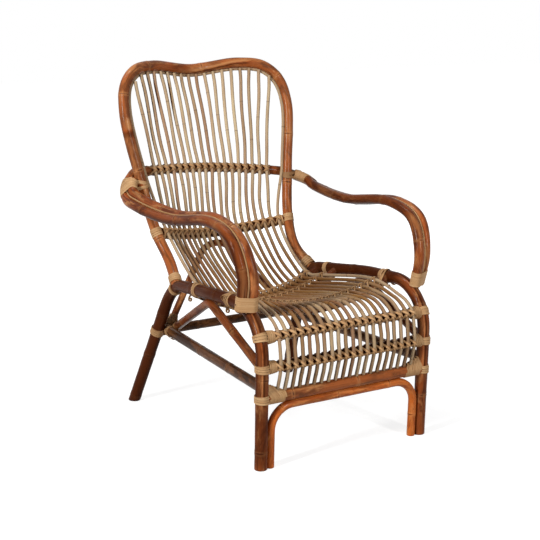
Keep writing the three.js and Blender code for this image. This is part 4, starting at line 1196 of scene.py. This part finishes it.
class ARMCHAIR_OT_braces(bpy.types.Operator):
    """Front arch, rear stretcher, side stretchers, side arches and rear arch"""
    bl_idname = "armchair.braces"
    bl_label = "Braces"

    def execute(self, context):
        lines, legs = layout(), leg_poles()
        rear = (lines.rear_stretcher, REAR_STRETCHER)
        braces = [("arch_front", "front_arch", "orange_pole", lines.front_arch, FRONT_ARCH, FRONT, 51, None),
                  ("stretcher_rear", "rear_stretcher", "dark_pole", *rear, FRONT, 52, legs)]
        for k, (name, leg) in enumerate(zip(SIDES, legs)):
            braces += [(f"stretcher_side_{name}", f"side_stretcher_{name}", "dark_pole",
                        lines.side_stretchers[name], SIDE_STRETCHER, RIGHT, 53 + k, (rear, leg)),
                       (f"arch_side_{name}", f"side_arch_{name}", "pole",
                        lines.side_arches[name], SIDE_ARCH, RIGHT, 55 + k, (rear, leg))]
        braces.append(("arch_rear", "rear_arch", "pole", lines.rear_arch, REAR_ARCH, FRONT, 57, (rear, rear)))
        for piece, node, slot, line, diameter, reference, seed, carriers in braces:
            ends = ends_on(line, *carriers) if carriers else (FLOOR, FLOOR)
            stain = even_darkness(0.55) if node.startswith("side_arch") else None
            add_piece(piece, [pole(line, diameter, reference, seed, ends, stain=stain)], slot, node)
        return {"FINISHED"}


class ARMCHAIR_OT_spokes(bpy.types.Operator):
    """Canes from the hoop down the back, over the seat and down the front"""
    bl_idname = "armchair.spokes"
    bl_label = "Spokes"

    def execute(self, context):
        chance = np.random.default_rng(60)
        for k, line in enumerate(layout().spokes):
            # edge is the depth of the painted shade down each cane's sides
            top, front, edge = chance.uniform((-0.05, 0.1, 0.05), (0.3, 0.65, 0.55))
            stain = cane_stain_and_shade(top, front, edge, 2.0 if k in STREAKED_CANES else 0.0)
            made = pole(line, SPOKE, FRONT, 61 + k, canelike=True, stain=stain)
            add_piece(f"cane_{k + 1:02d}", [made], "spoke_cane", f"spoke_{k + 1:02d}")
        return {"FINISHED"}


def lash_path(contacts, slope, thickness):
    """The path of the strip that lashes a row of canes to a rail: at each cane two loops round cane and
    rail, in the planes that hold the contact's normal and the directions rail * cos(slope) +- up *
    sin(slope). They start and end behind the rail, where the strip goes on to the next cane."""
    turn = np.linspace(0, 2 * math.pi, LASH_STEPS, endpoint=False)[None, :, None]
    parts = {key: np.array([contact[key] for contact in contacts])[:, None] for key in
             ("centre", "normal", "rail_along")}
    reach, cane, rail = (np.array([contact[key] for contact in contacts])[:, None, None]
                         for key in ("reach", "cane", "rail"))
    up = np.cross(parts["normal"], parts["rail_along"])
    places, normals = [], []
    for sign, lift in ((1, 0.15), (-1, 0.15 + thickness)):
        across = parts["rail_along"] * math.cos(slope) + up * sign * math.sin(slope)
        plane = np.cross(parts["normal"], across)
        outward = -parts["normal"] * np.cos(turn) + across * np.sin(turn)
        shape = outward.shape
        flat = [np.broadcast_to(a, shape).reshape(-1, 3) for a in (outward, plane, parts["centre"],
                parts["centre"] - parts["normal"] * reach, up, parts["rail_along"])]
        outward, plane, on_cane, on_rail, cane_way, rail_way = flat
        sizes = [np.broadcast_to(a / 2, shape[:2] + (1,)).reshape(-1, 1) for a in (cane, rail)]
        place, normal = drawn_tight([(on_cane, cane_way, sizes[0]), (on_rail, rail_way, sizes[1])], plane,
                                    outward, np.full(len(outward), lift))
        places.append(place.reshape(shape))
        normals.append(normal.reshape(shape))
    return np.concatenate(places, axis=1).reshape(-1, 3), np.concatenate(normals, axis=1).reshape(-1, 3)


class ARMCHAIR_OT_lashings(bpy.types.Operator):
    """Strips that cross over every cane and hold it to the rails"""
    bl_idname = "armchair.lashings"
    bl_label = "Lashings"

    def execute(self, context):
        sizes = context.scene.armchair_sizes
        width, thickness = sizes.lash_width / MM, sizes.strip_thickness / MM
        for k, (name, contacts) in enumerate(layout().contacts.items()):
            if contacts:
                path, normal = lash_path(contacts, sizes.lash_slope, thickness)
                # On the seat rails the lashings' darkness is partly painted shade
                made = strip(path, normal, width, thickness, 81 + k, LASH_STAINS_AND_SHADE.get(name, LASH_STAIN))
                add_piece(f"lash_{name}", [made], "binding_cane", f"{name}_lashing")
        return {"FINISHED"}


def strip_sizes():
    """Width and thickness of the binding strip, and the pitch of strips that lie side by side."""
    sizes = bpy.context.scene.armchair_sizes
    width, thickness = sizes.strip_width / MM, sizes.strip_thickness / MM
    return width, thickness, width + 0.2


def band(winding, seed, stain=0.0):
    """A strip along a winding: its places and the normals there."""
    width, thickness, _ = strip_sizes()
    return strip(*winding, width, thickness, seed, stain)


def distance_of(line, place):
    """Distance along a line to its point nearest to a place."""
    return travel(line)[np.argmin(np.linalg.norm(line - place, axis=1))]


class ARMCHAIR_OT_arm_bindings(bpy.types.Operator):
    """Bands round both poles of each arm, at the foot and at the elbow, with nails and elbow straps"""
    bl_idname = "armchair.arm_bindings"
    bl_label = "Arm bindings"

    def execute(self, context):
        lines = layout()
        _, thickness, _ = strip_sizes()
        nails = []
        for k, (name, sign) in enumerate(SIDES.items()):
            seed = 101 + 20 * k
            arm = lines.arms[name]
            pair, radii = [arm["seam"], arm["outer"], arm["inner"]], [0.1, ARM / 2, ARM / 2]
            foot = coil(pair, radii, *FOOT_BAND, RIGHT)
            add_piece(f"arm_foot_band_{name}", [band(foot, seed)], "binding_cane", f"arm_binding_{name}")
            length = travel(arm["seam"])[-1]
            loops = ELBOW_LOOPS[name]
            start = length - ELBOW_BAND_END - loops * ELBOW_PITCH
            elbow = coil(pair, radii, start, loops, ELBOW_PITCH, UP)
            upright = lines.back_half * (sign, 1, 1)
            level = arm["seam"][-1][2] + STRAP_LEVELS[name]
            post = crossing(upright[len(upright) // 2:], 2, level)
            way = heading_at(upright, post)
            hold = at_distance(arm["seam"], np.array([length - STRAP_HOLD]))[0]
            aside = unit((hold - post) * (1, 1, 0))
            # The elbow band is darkened partly as painted shade, the far one more
            made = [band(elbow, seed + 1, 0.2 + 0.25 * k)]
            for n, rise in enumerate(STRAP_RISES[name]):
                start = post - aside * BACK / 2 + UP * (3 - 7 * n)
                way_out = hold + UP * rise - start
                axis = UP - aside * (way_out @ UP) / (way_out @ aside)
                poles = [(post, way, BACK / 2), (hold, UP, STRAP_HOLD_RADIUS)]
                strap = wrapped(poles, axis, start, 2, STRAP_PITCH, 0.3 + 0.5 * n)
                # The straps are darkened a little, and on the far side much more as painted shade
                made.append(band(strap, seed + 2 + n, 0.1 + 0.75 * k))
            add_piece(f"arm_elbow_band_{name}", made, "binding_cane")
            outer = np.argmax(foot[0][: len(foot[0]) // 2, 0] * sign)
            for at in (len(foot[0]) - 20, outer):
                place, normal = foot[0][at], foot[1][at]
                nails.append(stud(place + normal * 1.6 * thickness, normal, NAIL, seed))
        add_piece("arm_band_nails", nails, None)
        return {"FINISHED"}


class ARMCHAIR_OT_back_bindings(bpy.types.Operator):
    """Bands at the ends of the lower back rail and at the feet of the uprights"""
    bl_idname = "armchair.back_bindings"
    bl_label = "Back bindings"

    def execute(self, context):
        lines = layout()
        _, thickness, pitch = strip_sizes()
        for k, (name, sign) in enumerate(SIDES.items()):
            seed = 201 + 20 * k
            upright = even(lines.back if sign < 0 else lines.back[::-1], 1.0)
            rail = even(lines.rails["lower_back"][0][::-sign], 1.0)
            level = distance_of(upright, rail[0])
            round_post = coil([upright], [BACK / 2], level - 2 * pitch, 4, pitch, RIGHT)
            round_rail = coil([rail], [RAIL / 2], 18, 2, pitch, FRONT, 2, thickness, (2.4, 0.4))
            add_piece(f"lower_rail_band_{name}", [band(round_post, seed), band(round_rail, seed + 1)],
                      "binding_cane")
            loop = even(lines.loops[name], 1.0)
            round_foot = coil([upright], [BACK / 2], 15, 4, pitch, RIGHT, 2, thickness)
            behind = coil([loop], [LEG / 2], distance_of(loop, upright[0]) + 6, 2, pitch, RIGHT, 2, thickness)
            add_piece(f"upright_foot_band_{name}", [band(round_foot, seed + 2), band(behind, seed + 3, 0.2)],
                      "binding_cane", f"upright_binding_{name}")
        return {"FINISHED"}


class ARMCHAIR_OT_rail_bindings(bpy.types.Operator):
    """Bands round the front legs and the front rails' ends, and straps at the seat rails' ends"""
    bl_idname = "armchair.rail_bindings"
    bl_label = "Rail bindings"

    def execute(self, context):
        lines = layout()
        _, thickness, pitch = strip_sizes()
        for k, (name, sign) in enumerate(SIDES.items()):
            leg = even(lines.loops[name], 1.0)
            for n, rail_name in enumerate(FRONT_RAILS):
                seed = 301 + 40 * k + 4 * n
                line, diameter = lines.rails[rail_name]
                rail = even(line[::-sign], 1.0)
                height = distance_of(leg, rail[0])
                on_leg = coil([leg], [LEG / 2], height - 1.5 * pitch, 3, pitch, RIGHT, 2, thickness)
                made = [band(on_leg, seed)]
                if rail_name == "front_bottom":
                    at = travel(rail)[:, None]
                    rise = np.interp(at, (22, 64), (40, diameter / 2 - 4))
                    ridge = rail + UP * rise - heading_at(rail, rail[0]) * 0.6 * rise
                    fan = coil([rail, ridge], [diameter / 2, 4], 15, 9, 5.2, FRONT)
                    made.append(band(fan, seed + 1, 0.1))
                else:
                    bulb = coil([rail], [diameter / 2], 15, 4, pitch * 0.9, FRONT, 2, thickness, (2.8, 0.5))
                    made.append(band(bulb, seed + 2, 0.15))
                add_piece(f"rail_end_band_{rail_name}_{name}", made, "binding_cane",
                          f"{rail_name}_binding_{name}")
            for n, (rail_name, lean) in enumerate(SEAT_STRAPS[name].items()):
                seed = 401 + 40 * k + 6 * n
                rail = even(lines.rails[rail_name][0][::-sign], 1.0)
                joint = rail[0]
                start = distance_of(leg, joint) + lean - 1.2 * pitch
                made = [band(coil([leg], [LEG / 2], start, 3, pitch * 0.8, RIGHT), seed, 0.15)]
                if rail_name != "seat_rear":
                    tie = looped(neighbour(leg, joint, LEG), neighbour(rail, joint, RAIL),
                                 (0.5 * lean + 3, 0.5 * lean - 3), (22, 28), UP, 2)
                    made.append(band(tie, seed + 3, 0.3))
                under = joint - UP * (LEG / 2 - 2)
                for turn, (along, length, turns) in enumerate(((6, 46, 1.1), (-7, 38, -0.9))):
                    way = unit(np.array((sign * 0.25, 0.75 * np.sign(along), -0.6)))
                    fall = square_to(-UP + RIGHT * sign * 0.3, way)
                    loose = curl(under - FRONT * along, way, fall, length, turns)
                    made.append(band(loose, seed + 1 + turn, 0.2))
                add_piece(f"seat_strap_{rail_name}_{name}", made, "binding_cane")
        return {"FINISHED"}


class ARMCHAIR_OT_brace_bindings(bpy.types.Operator):
    """Strips wound round the joints of the rear legs, the rear stretcher and the braces on it"""
    bl_idname = "armchair.brace_bindings"
    bl_label = "Brace bindings"

    def execute(self, context):
        lines = layout()
        _, thickness, pitch = strip_sizes()
        for k, (name, sign) in enumerate(SIDES.items()):
            seed = 501 + 40 * k
            leg = even(lines.loops[name][::-1], 1.0)
            stretcher = even(lines.rear_stretcher[::-sign], 1.0)
            arch = even(lines.rear_arch[::-sign], 1.0)
            side_arch = even(lines.side_arches[name], 1.0)
            side_stretcher = even(lines.side_stretchers[name], 1.0)
            level = distance_of(leg, stretcher[0])
            arch_pole = neighbour(arch, arch[0], REAR_ARCH)
            stretcher_pole = neighbour(side_stretcher, side_stretcher[0], SIDE_STRETCHER)
            # These bands lie in shade under the seat: their darkening, 0.25 on the leg band and 0.6 on the
            # others, is painted shade
            made = [band(winding, seed + n, 0.6 if n else 0.25) for n, winding in enumerate((
                coil([leg], [LEG / 2], level - 1.5 * pitch, 3, pitch, RIGHT, 2, thickness),
                coil([arch], [REAR_ARCH / 2], 14, 5, pitch, RIGHT, 2, thickness),
                coil([side_arch], [SIDE_ARCH / 2], 16, 3, pitch, RIGHT),
                coil([side_stretcher], [SIDE_STRETCHER / 2], 14, 3, pitch, RIGHT),
                coil([stretcher], [REAR_STRETCHER / 2], 14, 5, pitch, FRONT, 2, thickness),
                looped(arch_pole, stretcher_pole, (22, 34), (20, 32), RIGHT * sign, 3)))]
            add_piece(f"rear_joint_band_{name}", made, "binding_cane", f"rear_leg_binding_{name}")
        return {"FINISHED"}


# Lamps: place, target, width and height in metres, and power in watts
LAMPS = {
    "key": ((-3.0, -1.0, 1.9), (0, 0, 0.5), (0.22, 1.2), 102),
    "front": ((0.5, -3.3, 1.7), (0, 0, 0.5), (0.22, 1.1), 55),
    "top": ((-0.6, 0.6, 3.2), (0, 0, 0.4), (0.3, 1.6), 28),
    "back": ((2.2, 2.6, 1.6), (0, 0, 0.5), (0.9, 1.4), 34),
}
AMBIENT = 0.06

# Half the floor's side, and its glow at a distance from the chair's middle, in metres
FLOOR_HALF = 12.0
FLOOR_GLOW = (0.4, 1.6, 0.78, 1.0)

# Camera: focal length and picture in pixels, sensor and place in millimetres, turn and tip
FOCAL_PIXELS, FRAME_PIXELS, SENSOR = 1300, 540, 36
CAMERA_PLACE = np.array((-1867.6, -2597.5, 1183.9))
CAMERA_TURN, CAMERA_TIP = math.radians(-32.342), math.radians(12.433)


class ARMCHAIR_OT_stage(bpy.types.Operator):
    """Pale floor, soft studio light and the camera"""
    bl_idname = "armchair.stage"
    bl_label = "Stage"

    def execute(self, context):
        self.add_floor(context)
        self.add_world(context)
        for name, (place, target, (width, height), power) in LAMPS.items():
            data = bpy.data.lights.new(name, "AREA")
            data.shape = "RECTANGLE"
            data.size, data.size_y, data.energy = width, height, power
            lamp = bpy.data.objects.new(name, data)
            lamp.location = place
            lamp.rotation_euler = (Vector(target) - Vector(place)).to_track_quat("-Z", "Y").to_euler()
            lamp.visible_glossy = name != "back"
            context.scene.collection.objects.link(lamp)
        self.add_camera(context)
        context.scene.view_settings.view_transform = "Standard"
        return {"FINISHED"}

    def add_floor(self, context):
        half = FLOOR_HALF
        mesh = bpy.data.meshes.new("floor")
        mesh.from_pydata([(-half, -half, 0), (half, -half, 0), (half, half, 0), (-half, half, 0)], [],
                         [(0, 1, 2, 3)])
        finish = Finish("pale floor")
        place = finish.node("ShaderNodeTexCoord").outputs["Object"]
        reach = finish.node("ShaderNodeVectorMath", {0: place}, operation="LENGTH").outputs["Value"]
        glow = finish.math("MULTIPLY", finish.seen(), finish.span(reach, *FLOOR_GLOW))
        finish.feed(finish.shader, {
            "Base Color": (0.4, 0.4, 0.4, 1), "Roughness": 0.9, "Specular IOR Level": 0.0,
            "Emission Color": (1, 1, 1, 1), "Emission Strength": glow})
        mesh.materials.append(finish.material)
        floor = bpy.data.objects.new("floor", mesh)
        context.scene.collection.objects.link(floor)

    def add_world(self, context):
        world = bpy.data.worlds.new("white studio")
        world.use_nodes = True
        nodes = Nodes(world.node_tree)
        nodes.feed(nodes.tree.nodes["Background"], {
            "Color": (1, 1, 1, 1), "Strength": nodes.span(nodes.seen(), 0, 1, AMBIENT, 1)})
        context.scene.world = world

    def add_camera(self, context):
        data = bpy.data.cameras.new("camera")
        data.sensor_width = SENSOR
        data.lens = FOCAL_PIXELS / FRAME_PIXELS * SENSOR
        camera = bpy.data.objects.new("camera", data)
        camera.location = placed(CAMERA_PLACE)
        level = math.cos(CAMERA_TIP)
        back = Vector((math.sin(CAMERA_TURN) * level, -math.cos(CAMERA_TURN) * level, math.sin(CAMERA_TIP)))
        camera.rotation_euler = (-back).to_track_quat("-Z", "Y").to_euler()
        context.scene.collection.objects.link(camera)
        context.scene.camera = camera


OPERATORS = (ARMCHAIR_OT_side_loops, ARMCHAIR_OT_back, ARMCHAIR_OT_arms, ARMCHAIR_OT_rails, ARMCHAIR_OT_braces,
             ARMCHAIR_OT_spokes, ARMCHAIR_OT_lashings, ARMCHAIR_OT_arm_bindings, ARMCHAIR_OT_back_bindings,
             ARMCHAIR_OT_rail_bindings, ARMCHAIR_OT_brace_bindings, ARMCHAIR_OT_stage)


class ARMCHAIR_PT_panel(bpy.types.Panel):
    bl_label = "Rattan armchair"
    bl_idname = "ARMCHAIR_PT_panel"
    bl_space_type = "VIEW_3D"
    bl_region_type = "UI"
    bl_category = "Armchair"

    def draw(self, context):
        for operator in OPERATORS:
            self.layout.operator(operator.bl_idname)
        for group in (context.scene.armchair_sizes, context.scene.armchair_finish):
            for key in group.bl_rna.properties.keys():
                if key not in ("rna_type", "name"):
                    self.layout.prop(group, key)


CLASSES = (ArmchairSizes, ArmchairFinish, *OPERATORS, ARMCHAIR_PT_panel)


def register():
    for cls in CLASSES:
        bpy.utils.register_class(cls)
    bpy.types.Scene.armchair_sizes = bpy.props.PointerProperty(type=ArmchairSizes)
    bpy.types.Scene.armchair_finish = bpy.props.PointerProperty(type=ArmchairFinish)


def unregister():
    del bpy.types.Scene.armchair_finish
    del bpy.types.Scene.armchair_sizes
    for cls in reversed(CLASSES):
        bpy.utils.unregister_class(cls)


def main():
    register()
    for operator in OPERATORS:
        group, name = operator.bl_idname.split(".")
        getattr(getattr(bpy.ops, group), name)()


if __name__ == "__main__":
    main()
